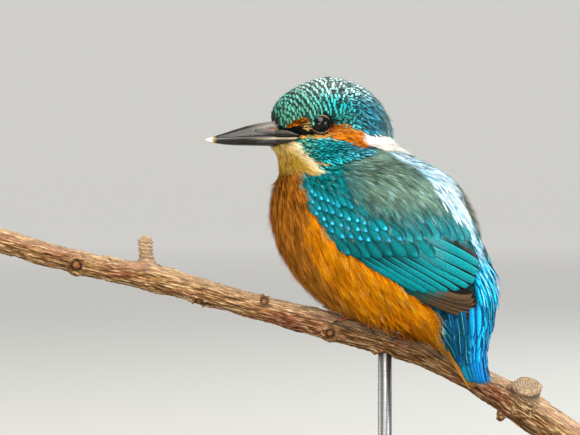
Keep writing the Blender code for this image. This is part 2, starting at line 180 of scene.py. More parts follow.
# %% Camera
VIEW_WIDTH = 208.8                    # width of the view at the bird, mm
VIEW_MIDDLE = (-34.2, 0.0, 100.6)
VIEW_DISTANCE = 1600.0
VIEW_RISE = math.radians(2.0)

lens = bpy.data.cameras.new("camera")
lens.sensor_width = 36.0
lens.lens = lens.sensor_width * VIEW_DISTANCE / VIEW_WIDTH
lens.clip_start = 0.05
camera = bpy.data.objects.new("camera", lens)
back = Vector((0.0, -math.cos(VIEW_RISE), math.sin(VIEW_RISE))) * VIEW_DISTANCE
camera.location = (Vector(VIEW_MIDDLE) + back) * MM
camera.rotation_euler = (math.pi / 2 - VIEW_RISE, 0.0, 0.0)
scene.collection.objects.link(camera)
scene.camera = camera
print("camera with a lens of", round(lens.lens), "mm")

# %% Floor and backdrop
# A round pale floor that curves up all round. In metres: how far out it is flat, the radius of
# its bend, and how far it rises above the bend.
FLOOR_FLAT, FLOOR_BEND, FLOOR_RISE = 3.2, 1.2, 1.0
BEND_STEPS = 12


def mesh_of(bm, name):
    """Turns a bmesh into a mesh, and frees it."""
    mesh = bpy.data.meshes.new(name)
    bm.to_mesh(mesh)
    bm.free()
    return mesh


def spun(section, steps):
    """A bmesh made by spinning a line of (radius, height) points round the upright axis."""
    bm = bmesh.new()
    line = [bm.verts.new((radius, 0.0, high)) for radius, high in section]
    edges = [bm.edges.new(pair) for pair in zip(line, line[1:])]
    bmesh.ops.spin(bm, geom=line + edges, cent=(0, 0, 0), axis=(0, 0, 1), angle=2 * math.pi,
                   steps=steps, use_merge=True)
    bmesh.ops.remove_doubles(bm, verts=bm.verts, dist=0.0001)
    return bm


angles = [math.pi / 2 * k / BEND_STEPS for k in range(1, BEND_STEPS + 1)]
curve = [(FLOOR_FLAT + FLOOR_BEND * math.sin(a), FLOOR_BEND - FLOOR_BEND * math.cos(a))
         for a in angles]
edge = (FLOOR_FLAT + FLOOR_BEND, FLOOR_BEND + FLOOR_RISE)
bm = spun([(0.0, 0.0), (0.6, 0.0), (FLOOR_FLAT, 0.0), *curve, edge], 96)
floor_mesh = mesh_of(bm, "floor")
floor_mesh.shade_smooth()
floor = bpy.data.objects.new("floor", floor_mesh)
scene.collection.objects.link(floor)

# Matt paper, nearly even in tone, which glows softly far out like a lit cloth.
paper, add, shader = new_material("floor_paper", 0.9, Specular_IOR_Level=0.1)
place = add("TexCoord").outputs["Object"]
fine = add("TexNoise", Vector=place, Scale=900.0, Detail=3.0)
colour = add("ValToRGB", stops=((0.3, "#AFAEAA"), (0.7, "#B6B5B1")), Fac=fine)
away = add("VectorMath", {"operation": "LENGTH"}, _0=place).outputs["Value"]
glow = add("MapRange", Value=away, From_Min=0.3, From_Max=2.2, To_Max=0.42)
connect(shader, Base_Color=colour, Emission_Color="#F4F3EF", Emission_Strength=glow)
floor_mesh.materials.append(paper)
print("floor of", 2 * edge[0], "metres across")

# %% Lamps and the light all round
LAMP_AIM = Vector((-0.01, 0.0, 0.1))
# Of each lamp: its place and its width and height in metres, its power in watts, its colour.
LAMPS = {
    "sky": ((0.05, -0.60, 1.0), (0.8, 0.6), 17.0, "#FFFBF4"),
    "front": ((-0.35, -1.3, 0.30), (0.5, 0.5), 7.0, "#FFFFFF"),
    "rim": ((0.65, 0.55, 0.7), (0.5, 0.5), 9.0, "#F4FAFF"),
    "side": ((0.95, -0.55, 0.35), (0.5, 0.5), 6.0, "#F8FCFF"),
    "fill": ((-0.9, 0.1, 0.25), (0.6, 0.6), 3.0, "#FFF6E8"),
    "catchlight": ((0.12, -1.0, 0.72), (0.14, 0.10), 2.5, "#FFFFFF"),
}
for name, (spot, size, power, hue) in LAMPS.items():
    light = bpy.data.lights.new(name, "AREA")
    light.shape = "RECTANGLE"
    light.size, light.size_y = size
    light.energy = power
    light.color = linear(hue)
    lamp = bpy.data.objects.new(name, light)
    lamp.location = spot
    lamp.rotation_euler = (LAMP_AIM - Vector(spot)).to_track_quat("-Z", "Y").to_euler()
    scene.collection.objects.link(lamp)
world = bpy.data.worlds.new("studio")
world.use_nodes = True
sky_light = world.node_tree.nodes["Background"]
connect(sky_light, Color="#EDEEF0", Strength=0.45)
scene.world = world
scene.view_settings.view_transform = "Standard"
print(len(LAMPS), "lamps")

# %% [markdown]
# ## The skin
# Under its feathers the bird is one body with no cuts. The flesh nodes are copied and their
# points merged, then pushed out just far enough to close the cuts between them. A voxel remesh
# fuses them, smoothing takes the facets off, and the result is let in by the depth of the coat:
# one millimetre on the head and up to two and a half on the fluffed belly. Shaping this skin by
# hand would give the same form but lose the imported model's exact outline.

# %% Copy and fuse solids, and the depth of the coat
FLESH = ("head", "neck", "trunk", "wing_left", "wing_right", "tail")
FEET = ("leg_left", "leg_right")
CUT_FILL = 0.35                       # closes the 0.3 mm cuts with a little to spare
SKIN_VOXEL, SKIN_ROUNDS = 0.8, 24     # voxel size in mm, and rounds of smoothing after it
LET_IN_ROUNDS = 4                     # and after the skin is let in


def solid_copy(names, swell=0.0):
    """The named nodes in one bmesh in millimetres, points merged and pushed out by swell."""
    bm = bmesh.new()
    for name in names:
        bm.from_mesh(NODES[name].data)
    bmesh.ops.scale(bm, vec=(1 / MM, 1 / MM, 1 / MM), verts=bm.verts)
    bmesh.ops.remove_doubles(bm, verts=bm.verts, dist=0.02)
    bm.normal_update()
    for vert in bm.verts:
        vert.co += vert.normal * swell
    return bm


def smooth(bm, rounds):
    for _ in range(rounds):
        bmesh.ops.smooth_vert(bm, verts=bm.verts, factor=0.5,
                              use_axis_x=True, use_axis_y=True, use_axis_z=True)
    bm.normal_update()


def remeshed(bm, voxel, rounds):
    """A new bmesh of even voxel quads round the old one, smoothed that many rounds."""
    mesh = mesh_of(bm, "rough")
    rough = bpy.data.objects.new("rough", mesh)
    scene.collection.objects.link(rough)
    fuse = rough.modifiers.new("fuse", "REMESH")
    fuse.mode = "VOXEL"
    fuse.voxel_size = voxel
    made = rough.evaluated_get(bpy.context.evaluated_depsgraph_get()).to_mesh()
    fine = bmesh.new()
    fine.from_mesh(made)
    bpy.data.objects.remove(rough, do_unlink=True)
    bpy.data.meshes.remove(mesh)
    smooth(fine, rounds)
    return fine


def ease(low, high, value):
    """Eases from 0 at low to 1 at high; low may be the larger of the two."""
    t = np.clip((value - low) / (high - low), 0.0, 1.0)
    return t * t * (3.0 - 2.0 * t)


def coordinates(bm):
    return np.array([v.co for v in bm.verts])


# Where the head's feathers end above the shoulders, by angle round the trunk.
NECKLINE = ((0, 30, 55, 74, 93, 116, 142, 180),
            (116.5, 117.3, 118.2, 117.0, 120.2, 121.7, 123.7, 124.5))
# Depth of the feathers over the skin in mm: on the head, on the body, how much more where it is
# fluffed out in front, and on the tail.
HEAD_COAT, BODY_COAT, FLUFF, TAIL_COAT = 1.0, 1.6, 0.9, 0.7


def above_neckline(points):
    """How far each point is above the edge of the head's feathers."""
    angle, height = body_place(points)
    return height - np.interp(np.abs(angle), *NECKLINE)


def coat_depth(points):
    """Depth of feather over the skin, in millimetres."""
    on_head = ease(-2.0, 2.0, above_neckline(points))
    forward = points @ BODY_AHEAD
    fluffed = BODY_COAT + FLUFF * ease(-25.0, 0.0, forward)
    on_tail = ease(66.0, 56.0, points[:, 2]) * ease(-24.0, -31.0, forward)
    body = fluffed * (1 - on_tail) + TAIL_COAT * on_tail
    return HEAD_COAT * on_head + body * (1 - on_head)


# %% Forehead, chin and the fused skin
# Places are ahead, to the left and up. Lobes of the forehead stand beside the ridge of the bill,
# and a wedge of loose skin hangs below it.
LOBE_AHEAD, LOBE_LEFT, LOBE_UP, LOBE_RADIUS = 17.8, 3.4, 136.6, 4.2
CHIN_BACK, CHIN_BACK_RADIUS = (14.0, 0.0, 123.6), 5.0
CHIN_FRONT, CHIN_FRONT_RADIUS = (23.4, 0.0, 127.3), 1.9


def add_face(bm):
    """The two lobes of the forehead and the wedge of the chin."""
    for side in (1, -1):
        lobe = Vector(head_point(LOBE_AHEAD, LOBE_LEFT * side, LOBE_UP))
        bmesh.ops.create_icosphere(bm, subdivisions=3, radius=LOBE_RADIUS,
                                   matrix=Matrix.Translation(lobe))
    back, front = head_point(*CHIN_BACK), head_point(*CHIN_FRONT)
    turn = Vector(front - back).to_track_quat("Z", "Y").to_matrix().to_4x4()
    bmesh.ops.create_cone(bm, segments=24, radius1=CHIN_BACK_RADIUS, radius2=CHIN_FRONT_RADIUS,
                          cap_ends=True, depth=float(np.linalg.norm(front - back)),
                          matrix=Matrix.Translation(Vector((front + back) / 2)) @ turn)


# The eyeballs are fused in too: the skin closes behind them and they stand out of it.
flesh_bm = solid_copy(FLESH + ("eye_left", "eye_right"), CUT_FILL)
add_face(flesh_bm)
skin_bm = remeshed(flesh_bm, SKIN_VOXEL, SKIN_ROUNDS)
depth = coat_depth(coordinates(skin_bm)) + CUT_FILL
for vert, deep in zip(skin_bm.verts, depth):
    vert.co -= vert.normal * float(deep)
smooth(skin_bm, LET_IN_ROUNDS)
SKIN = BVHTree.FromBMesh(skin_bm)
skin_points = coordinates(skin_bm)
print("skin of", len(skin_bm.faces), "quads, from", skin_points.min(0).round(1),
      "to", skin_points.max(0).round(1), "mm")

# %% [markdown]
# ## How a feather is laid
# A feather is too small, and there are too many, to shape each by hand. One flat vane is made as
# a grid, and copies of it are bent on to the body: each walks from its root over the skin in the
# direction that the coat lies, rising slowly so that it covers the root of the next. The copies
# become one joined mesh, as an array would make, so that they export as plain geometry.

# %% The lie of the coat
BILL_ROOT = head_point(24.0, 0.0, 131.0)
DOWN = np.array((0.0, 0.0, -1.0))
TAILWARD = -0.56 * BODY_AHEAD + 0.83 * DOWN
TAIL_LINE = -0.30 * BODY_AHEAD + 0.95 * DOWN


def unit(vectors):
    """The same directions, each of length one."""
    return vectors / np.maximum(np.linalg.norm(vectors, axis=-1, keepdims=True), 1e-9)


def mix(a, b, share):
    """Part way from a to b; each may be a number, vectors, colours or a colour's hex name."""
    a, b = (linear(each) if isinstance(each, str) else each for each in (a, b))
    share = np.asarray(share, float)
    if (np.ndim(a) or np.ndim(b)) and share.ndim and share.shape[-1] != 1:
        share = share[..., None]
    return a * (1 - share) + b * share


def lie(points, normals):
    """The direction in which feathers lie at each point of the skin."""
    away = points - BILL_ROOT
    reach = np.linalg.norm(away, axis=1)
    ahead, left, _ = head_place(points)
    drop = ease(22.0, 44.0, reach) * 0.9 + 0.12
    over_head = unit(away) + DOWN * drop[:, None]
    forward = points @ BODY_AHEAD
    beside = ease(6.0, 14.0, np.abs(points @ BODY_LEFT))
    shoulder = ease(98.0, 120.0, points[:, 2]) * beside
    over_body = TAILWARD - BODY_AHEAD * (0.9 * shoulder)[:, None]
    low = ease(72.0, 58.0, points[:, 2]) * ease(-12.0, -26.0, forward)
    over_body = mix(over_body, TAIL_LINE, low)
    on_head = ease(-1.5, 2.5, above_neckline(points))
    way = mix(over_body, over_head, on_head)
    way -= normals * np.sum(way * normals, axis=1, keepdims=True)
    return unit(way)


def on_skin(points):
    """The nearest points of the skin, with its normals there."""
    found = [SKIN.find_nearest(p)[:2] for p in points.tolist()]
    return np.array([f[0] for f in found]), np.array([f[1] for f in found])


def march(here, lengths, rows, way_at):
    """Points, normals and directions along lines that go step by step over the skin."""
    steps = []
    for _ in range(rows):
        here, normal = on_skin(here)
        way = way_at(here, normal)
        steps.append((here, normal, way))
        here = here + way * (lengths / (rows - 1))[:, None]
    return [np.stack(each, axis=1) for each in zip(*steps)]


def walk(roots, lengths, rows, turn):
    """Lines from roots along the lie of the coat, which they leave by turn, in radians."""
    turn = turn[:, None]

    def way_at(here, normal):
        way = lie(here, normal)
        return way * np.cos(turn) + np.cross(normal, way) * np.sin(turn)

    return march(roots, lengths, rows, way_at)


def stretch(roots, middles, tips, rows):
    """Curves over the skin from each root through its middle to its tip."""
    points, normals = [], []
    for s in np.linspace(0.0, 1.0, rows):
        here, normal = on_skin(roots * (1 - s) * (1 - 2 * s) + middles * 4 * s * (1 - s)
                               + tips * s * (2 * s - 1))
        points.append(here)
        normals.append(normal)
    points = np.stack(points, axis=1)
    return [points, np.stack(normals, axis=1), unit(np.gradient(points, axis=1))]


print("feathers lie down the back along", TAILWARD.round(2))


# %% The flat vane and its copies
def flat_grid(columns, rows):
    """Faces of a flat vane with that many points across and along."""
    bm = bmesh.new()
    bmesh.ops.create_grid(bm, x_segments=columns - 1, y_segments=rows - 1, size=1.0)
    bm.verts.ensure_lookup_table()
    order = sorted(bm.verts, key=lambda vert: (round(vert.co.y, 4), vert.co.x))
    rank = {vert.index: number for number, vert in enumerate(order)}
    faces = np.array([[rank[v.index] for v in face.verts] for face in bm.faces])
    bm.free()
    return faces


def rounded(v, narrow=0.45, widest=0.55, tip=0.5):
    """Half width along a body feather: narrow at its root, round at its tip."""
    grow = narrow + (1 - narrow) * np.sin(np.clip(v / widest, 0, 1) * math.pi / 2)
    end = np.clip((v - (1 - tip)) / tip, 0, 1)
    return grow * np.sqrt(np.maximum(1 - end ** 2.4, 0.0016))


def blunt(v):
    """Half width along a crown feather: broad, with a blunt end."""
    return rounded(v, 0.6, 0.5, 0.28)


def blade(v):
    """Half width along a flight feather: even, with a round end."""
    grow = 0.55 + 0.45 * np.clip(v / 0.3, 0, 1)
    end = np.clip((v - 0.86) / 0.14, 0, 1)
    return grow * np.sqrt(np.maximum(1 - end ** 2.2, 0.003))


def strand(v):
    """Half width along one loose barb: a tapering hair."""
    return 1.0 - 0.93 * v ** 1.6


def lay(lines, columns, half_width, outline, lift, tint, roll=0.0, camber=0.0, mark=None):
    """Bends copies of a flat vane along lines. Widths and lifts are in millimetres, roll is the
    slope across the vane, and camber how much it arches, as a share of its half width."""
    points, normals, ways = lines
    count, rows = points.shape[:2]
    v = np.linspace(0.0, 1.0, rows)
    u = np.linspace(-1.0, 1.0, columns)
    side = np.cross(ways, normals)
    half = np.broadcast_to(half_width, count)[:, None] * outline(v)[None, :]
    across = half[:, :, None] * u
    lift = np.broadcast_to(lift, (count, rows))
    rise = lift[:, :, None] + np.broadcast_to(roll, count)[:, None, None] * across
    rise = rise + camber * half[:, :, None] * (1.0 - u ** 2)
    place = points[:, :, None] + side[:, :, None] * across[..., None]
    place = place + normals[:, :, None] * rise[..., None]
    tint = np.broadcast_to(tint, (count, rows, columns, 3))
    mark = tint if mark is None else np.broadcast_to(mark, (count, rows, columns, 3))
    vane = np.broadcast_to(np.stack(np.meshgrid(u / 2 + 0.5, v), axis=-1),
                           (count, rows, columns, 2))
    return {"place": place, "tint": tint, "mark": mark, "vane": vane, "root": points[:, 0],
            "faces": flat_grid(columns, rows)}


SPLAY = 0.35                          # how far a loose barb may roll to either side


def tuft(lines, strands, spread_root, spread_tip, half_width, lift, tint, contrast):
    """Splits each line into loose barbs, set side by side and rolled a little each."""
    points, normals, ways = lines
    count, rows = points.shape[:2]
    v = np.linspace(0.0, 1.0, rows)
    side = np.cross(ways, normals)
    laid = []
    for k in range(strands):
        offset = (k + 0.5) / strands * 2 - 1 + rng.uniform(-0.25, 0.25, count)
        reach = rng.uniform(0.72, 1.0, count)[:, None]
        away = offset[:, None] * mix(spread_root, spread_tip, v)
        crest = 1.0 - offset ** 2     # the middle barbs stand higher and catch more light
        up = lift * (rng.uniform(0.75, 1.10, count) + 0.15 * crest)[:, None]
        stop = v[None, :] * reach
        index = stop * (rows - 1)
        low = np.minimum(index.astype(int), rows - 2)
        share = (index - low)[..., None]
        pick = np.arange(count)[:, None]
        centre = points[pick, low] * (1 - share) + points[pick, low + 1] * share
        centre = centre + side * away[..., None]
        roll = rng.uniform(-SPLAY, SPLAY, count)
        # Random tone, and the outer barbs are painted darker: painted shade at the tuft's sides.
        shade = rng.uniform(1 - 0.6 * contrast, 1 + 0.55 * contrast, count) \
            * (1 - 0.5 * contrast * (1 - crest))
        shaded = np.clip(tint * shade[:, None, None, None], 0, 1)
        barb = lay((centre, normals, ways), 2, half_width, strand, up, shaded, roll=roll)
        barb["root"] = points[:, 0]
        laid.append(barb)
    return laid


print("a vane of 7 by 9 points has", len(flat_grid(7, 9)), "faces")

# %% [markdown]
# ## Markings
# A kingfisher wears its colours in clear fields: a barred teal crown, an orange patch ahead of
# and behind the eye, a white flash on the neck, a teal moustache stripe, a cream throat, an
# orange belly washed with brown on the breast, teal wings and a pale blue line down the back.
# One function says which field a point is in, and both the skin and its feathers ask it, so they
# always agree. Fields on the head are drawn in side view, ahead and up from its middle; fields
# on the body by the angle round the trunk and the height.

# %% Fields of the plumage
# Fields of the head in side view, ahead and up; where two overlap, the later one is on top.
OUTLINES = (
    ("moustache", ((16.2, 129.4), (8.0, 129.2), (4.6, 129.4), (-1.0, 128.3), (-5.0, 126.2),
        (-12.0, 123.8), (-13.5, 121.6), (-11.0, 118.0), (8.0, 117.0), (8.4, 119.0), (10.4, 121.6),
        (13.2, 125.2))),
    ("white", ((-7.4, 129.0), (-8.0, 132.0), (-13.7, 132.5), (-21.5, 130.2), (-26.0, 127.4),
        (-26.0, 122.8), (-18.0, 124.6), (-13.6, 125.0), (-9.6, 126.4))),
    ("black", ((20.5, 133.0), (12.0, 133.4), (9.4, 133.4), (8.0, 131.2), (8.6, 130.3),
        (20.5, 130.6))),
    ("ear", ((6.0, 130.6), (3.6, 132.2), (2.2, 134.4), (-3.6, 133.8), (-7.6, 132.4), (-7.8, 129.0),
        (-9.6, 126.6), (-6.4, 125.4), (-1.2, 128.2), (4.0, 129.6))),
    ("gape", ((14.5, 130.2), (8.6, 130.3), (5.6, 130.8), (3.0, 131.0), (3.0, 129.9), (8.0, 129.2),
        (14.5, 129.3))),
    ("gape", ((9.6, 121.4), (6.0, 120.4), (-6.0, 120.0), (-6.0, 119.3), (6.0, 119.4),
        (9.6, 120.4))),
    ("lore", ((18.7, 133.7), (16.2, 135.9), (12.6, 136.8), (10.9, 135.4), (12.2, 133.6),
        (18.5, 132.8))),
    ("buff", ((12.6, 134.4), (10.8, 134.6), (9.8, 132.9), (10.8, 131.8), (12.8, 132.4))),
    ("horn", ((26.0, 132.5), (19.6, 132.4), (17.5, 131.8), (15.0, 131.1), (13.2, 130.3),
        (14.2, 128.7), (17.0, 127.6), (19.6, 127.0), (26.0, 126.8))),
)
# Edges on the body. The wing's is a height at each angle round the trunk; the brown wash's and the
# tail's are an angle at each height.
WING_EDGE = ((50, 55, 62, 69, 72, 76, 84, 94, 104, 117, 127, 136, 149, 160, 170, 180),
             (125, 113.5, 111.0, 107.5, 101.5, 96.5, 92.3, 87.5, 85.1, 79.1, 72.0, 69.1, 67.3, 66.5,
              66.0, 66.0))
WASH_EDGE = ((62, 68, 75, 82, 88, 93, 98, 102, 107, 110, 114, 118),
             (32, 40, 48, 52, 53, 52, 53, 60, 62, 58, 54, 50))
# The pale stripe down the back, by height: where it begins and ends, in degrees round the trunk.
STRIPE_HEIGHTS = (60, 80, 87, 94, 98, 102, 105, 108, 112, 118, 125)
STRIPE_FROM = (166, 171, 175, 176, 177, 175, 171, 167, 163, 164, 164)
STRIPE_TO = (198, 200, 199, 197, 190, 187, 187, 188, 191, 197, 197)
TAIL_EDGE = ((46, 50.0, 53.6, 60.8, 66, 69), (112, 112, 113, 121, 129, 134))
PUPIL_RIM, EYE_RIM = 3.5, 3.8         # how far round the eye's middle the skin is dark, in mm


def inside(outline, x, y):
    """Whether each point of x and y is inside a closed outline."""
    found = np.zeros(len(x), bool)
    for (x0, y0), (x1, y1) in zip(outline, outline[1:] + outline[:1]):
        crosses = (y0 > y) != (y1 > y)
        with np.errstate(divide="ignore", invalid="ignore"):
            at = x0 + (y - y0) * (x1 - x0) / ((y1 - y0) or 1e-9)
        found ^= crosses & (x < at)
    return found


def fields(points):
    """The name of the field that each point is in."""
    ahead, left, height = head_place(points)
    angle, _ = body_place(points)
    turn = angle % 360.0
    angle = np.abs(angle)
    name = np.full(len(points), "mantle", dtype="U10")
    forward = points @ BODY_AHEAD
    orange = height < np.interp(angle, *WING_EDGE)
    name[orange] = "belly"
    name[orange & (forward < -21.0) & (height < 64.0)] = "undertail"
    name[orange & (height < 70) & (angle > np.interp(height, *TAIL_EDGE))] = "rump"
    wash = np.interp(height, *WASH_EDGE)
    name[orange & (angle < wash) & (height > 64)] = "breast"
    name[~orange & (angle < 100) & (height > 106)] = "shoulder"
    name[~orange & (height < 97) & (angle < 150)] = "wing"
    name[~orange & (turn > np.interp(height, STRIPE_HEIGHTS, STRIPE_FROM))
         & (turn < np.interp(height, STRIPE_HEIGHTS, STRIPE_TO))] = "stripe"
    name[~orange & (angle > 150) & (height < 86)] = "wing"
    name[~orange & (angle > 168) & (height < 90)] = "rump"
    head = above_neckline(points) > 0
    name[head] = "crown"
    name[head & (ahead < -9.0 - 0.5 * (height - 133))] = "nape"
    side = head & (np.abs(left) > 3.5)
    name[head & (height < 125.5) & (ahead < -2)] = "mantle"
    name[head & (height < 129.6) & (ahead > -2)] = "throat"
    for field, outline in OUTLINES:
        name[side & inside(outline, ahead, height)] = field
    from_eye = np.hypot(ahead - EYE_AHEAD - 0.3, height - EYES["left"][2])
    name[side & (from_eye < EYE_RIM)] = "black"
    name[head & (from_eye < PUPIL_RIM) & (np.abs(left) > 6)] = "eye"
    return name


counts = dict(zip(*np.unique(fields(skin_points), return_counts=True)))
print("skin points in each field:", {str(k): int(v) for k, v in counts.items()})

# %% Colours of the plumage
# Colour of each field at a feather's root and at its tip.
PAINT = {
    "crown": ("#1C3430", "#3A7E76"), "nape": ("#142A32", "#2C6674"),
    "lore": ("#3A1A05", "#C8700A"), "buff": ("#8A6430", "#D9B672"),
    "black": ("#0B0B0A", "#1B1A14"), "eye": ("#0A0908", "#12100D"),
    "horn": ("#14120E", "#1C1914"), "gape": ("#B8741C", "#F4C470"),
    "ear": ("#8A3E04", "#F48A16"), "white": ("#F1EBDF", "#FFFEFA"),
    "moustache": ("#063F44", "#0A9AA2"), "throat": ("#B48C30", "#F8DA88"),
    "breast": ("#7A440E", "#C27828"), "belly": ("#BA5800", "#FFA20E"),
    "undertail": ("#C47A14", "#FFB444"), "shoulder": ("#0A5456", "#0CA6AA"),
    "mantle": ("#4A6252", "#86A894"), "stripe": ("#A4D4E4", "#F4FBFE"),
    "rump": ("#0478B0", "#10CEFC"), "wing": ("#03484A", "#067C80"),
}
# Some feathers of a field differ: their share, and their colour.
FLECKS = {
    "nape": ((0.28, "#5E8C90"), (0.24, "#182C36")), "crown": ((0.3, "#6A908A"), (0.3, "#1A302E")),
    "mantle": ((0.07, "#A8D0D6"), (0.20, "#76806E"), (0.14, "#2E6A6A")),
    "shoulder": ((0.08, "#8AD4DC"), (0.15, "#4E7A70")),
    "stripe": ((0.34, "#4CB4DC"), (0.14, "#6F97A2")),
    "rump": ((0.24, "#8AE0F8"), (0.15, "#045888")),
    "ear": ((0.20, "#F8BE66"), (0.22, "#A84C08")), "throat": ((0.12, "#EFD694"),),
    "lore": ((0.34, "#1B140C"),), "belly": ((0.08, "#FAC058"), (0.08, "#9A5004")),
    "breast": ((0.10, "#C98A3C"), (0.16, "#4E2806")), "white": ((0.04, "#F0C88A"),),
    "moustache": ((0.15, "#5FB8B4"), (0.2, "#063A44")), "undertail": ((0.12, "#F6C878"),),
}
ROOT_PAINT = {name: linear(pair[0]) for name, pair in PAINT.items()}
TIP_PAINT = {name: linear(pair[1]) for name, pair in PAINT.items()}


def painted(points, paints):
    """The colour, out of paints, of the field that each point is in."""
    found = fields(points)
    colours = np.zeros((len(points), 3))
    for field, colour in paints.items():
        colours[found == field] = colour
    return colours


print(len(PAINT), "fields have colours")

# %% [markdown]
# ## The skin's unwrap, and pieces of coat
# Every feather is given a small patch of a second map, OFBake, at the place of its root on the
# skin's unwrap. Neighbouring feathers then have neighbouring patches, and colours baked from the
# map stay in order. The first map, Vane, runs across and along each feather for its fine lines.


# %% Finish a piece
def keep(bm, name, slot, *shaders):
    """Turns a bmesh in millimetres into a finished piece on the one body."""
    bmesh.ops.scale(bm, vec=(MM, MM, MM), verts=bm.verts)
    return finished(mesh_of(bm, name), name, slot, *shaders)


def finished(mesh, name, slot, *shaders):
    """Makes a mesh in metres a piece with its materials and its body; slot is not used."""
    piece = bpy.data.objects.new(name, mesh)
    scene.collection.objects.link(piece)
    for shader in shaders:
        mesh.materials.append(shader)
    mesh.shade_smooth()
    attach(piece, "root")
    return piece


def give_colour(mesh, name, colours):
    """Keeps a colour at each point of a mesh, for a material to read by name."""
    layer = mesh.color_attributes.new(name=name, type="FLOAT_COLOR", domain="POINT")
    rgba_values = np.ones((len(colours), 4), np.float32)
    rgba_values[:, :3] = colours
    layer.data.foreach_set("color", rgba_values.ravel())


def unwrap(piece, map_name):
    """Lays a piece's faces out flat on a map of that name."""
    bpy.context.view_layer.objects.active = piece
    piece.select_set(True)
    piece.data.uv_layers.new(name=map_name)
    bpy.ops.object.mode_set(mode="EDIT")
    bpy.ops.mesh.select_all(action="SELECT")
    bpy.ops.uv.smart_project(angle_limit=math.radians(66), island_margin=0.002)
    bpy.ops.object.mode_set(mode="OBJECT")
    piece.select_set(False)


# %% Skin and feet
# Bare skin under feathers: matt, tinted as the feathers above it, darker as they shade it.
skin_shader, add, shader = new_material("feathered_skin", 0.9, Specular_IOR_Level=0.2)
place = add("TexCoord").outputs["Object"]
pores = add("TexNoise", Vector=place, Scale=1400.0, Detail=4.0)
tinted = add("Attribute", {"attribute_name": "tint"})
speckle = add("ValToRGB", stops=((0.3, "#7A7A7A"), (0.7, "#E8E8E8")), Fac=pores)
shade = add("Mix", DARKEN, Factor=0.75, A=tinted, B=speckle)
lumps = add("Bump", Height=pores, Strength=0.5, Distance=0.0004)
connect(shader, Base_Color=shade, Normal=lumps)

# Feet: scaly skin, red-brown, with the small plates that birds' toes have.
scale_shader, add, shader = new_material("scaly_foot_skin", 0.5, Specular_IOR_Level=0.4)
place = add("TexCoord").outputs["Object"]
plates = add("TexVoronoi", {"feature": "DISTANCE_TO_EDGE"}, Vector=place, Scale=1700.0)
browns = add("ValToRGB", stops=((0.02, "#4A1E0C"), (0.16, "#A4552A"), (0.5, "#B96A36")),
             Fac=plates)
ridge = add("Bump", Height=plates, Strength=0.7, Distance=0.0003)
connect(shader, Base_Color=browns, Normal=ridge)

FEET_VOXEL, FEET_ROUNDS = 0.28, 3     # finer than on the body, so that the toes keep their form
SKIN_SHADE = 0.8                      # the feathers shade the skin by this much
skin_faces = np.array([[v.index for v in f.verts] for f in skin_bm.faces])
face_corners = skin_points[skin_faces]
feet_bm = remeshed(solid_copy(FEET), FEET_VOXEL, FEET_ROUNDS)
for face in feet_bm.faces:
    face.material_index = 1
whole_bm = skin_bm.copy()
whole_bm.from_mesh(mesh_of(feet_bm, "feet"))
whole_points = coordinates(whole_bm)
skin = keep(whole_bm, "skin", "belly_feathers", skin_shader, scale_shader)
give_colour(skin.data, "tint", painted(whole_points, ROOT_PAINT) * SKIN_SHADE)
unwrap(skin, "OFBake")
flat = np.empty(len(skin.data.loops) * 2, np.float32)
skin.data.uv_layers["OFBake"].uv.foreach_get("vector", flat)
face_flat = flat.reshape(-1, 4, 2)[:len(skin_faces)]
print("skin unwrapped,", len(face_flat), "faces")


def root_on_map(roots):
    """Where each root is on the skin's unwrap."""
    face = np.array([SKIN.find_nearest(p)[2] for p in roots.tolist()])
    near = 1.0 / (np.sum((face_corners[face] - roots[:, None]) ** 2, axis=2) + 1e-4)
    share = near / near.sum(axis=1, keepdims=True)
    return np.sum(face_flat[face] * share[..., None], axis=1)


# %% Join laid feathers into one piece
PATCH = 0.003                         # size of one feather on the OFBake map
coat_triangles = {}


def coat(name, laid, shader, slot):
    """Joins laid feathers into one piece of four-sided faces."""
    start = 0
    for part in laid:
        count, rows, columns = part["place"].shape[:3]
        offset = start + np.arange(count)[:, None, None] * rows * columns
        start += count * rows * columns
        part["face"] = part["faces"][None] + offset
        part["bake"] = root_on_map(part["root"])[:, None, None] + (part["vane"] - 0.5) * PATCH
    places, faces, tints, marks, vanes, bakes = (
        np.concatenate([part[key].reshape(-1, part[key].shape[-1]) for part in laid])
        for key in ("place", "face", "tint", "mark", "vane", "bake"))
    mesh = bpy.data.meshes.new(name)
    mesh.vertices.add(len(places))
    mesh.vertices.foreach_set("co", (places * MM).astype(np.float32).ravel())
    mesh.loops.add(faces.size)
    mesh.loops.foreach_set("vertex_index", faces.astype(np.int32).ravel())
    mesh.polygons.add(len(faces))
    mesh.polygons.foreach_set("loop_start", np.arange(0, faces.size, 4, dtype=np.int32))
    mesh.update(calc_edges=True)
    for map_name, values in (("Vane", vanes), ("OFBake", bakes)):
        layer = mesh.uv_layers.new(name=map_name)
        layer.uv.foreach_set("vector", values[faces.ravel()].astype(np.float32).ravel())
    give_colour(mesh, "tint", tints)
    give_colour(mesh, "mark", marks)
    finished(mesh, name, slot, shader)
    coat_triangles[name] = len(faces) * 2
    print(name, coat_triangles[name], "triangles")


# %% Scatter roots over the skin
CELLS_ROUND = [(i, j, k) for i in (-1, 0, 1) for j in (-1, 0, 1) for k in (-1, 0, 1)]


def candidates(count):
    """Random points spread evenly over the skin's area."""
    corner = face_corners
    area = np.linalg.norm(np.cross(corner[:, 2] - corner[:, 0], corner[:, 3] - corner[:, 1]),
                          axis=1)
    face = rng.choice(len(corner), count, p=area / area.sum())
    a, b = rng.random((2, count, 1))
    quad = corner[face]
    return ((quad[:, 0] * (1 - a) + quad[:, 1] * a) * (1 - b)
            + (quad[:, 3] * (1 - a) + quad[:, 2] * a) * b)


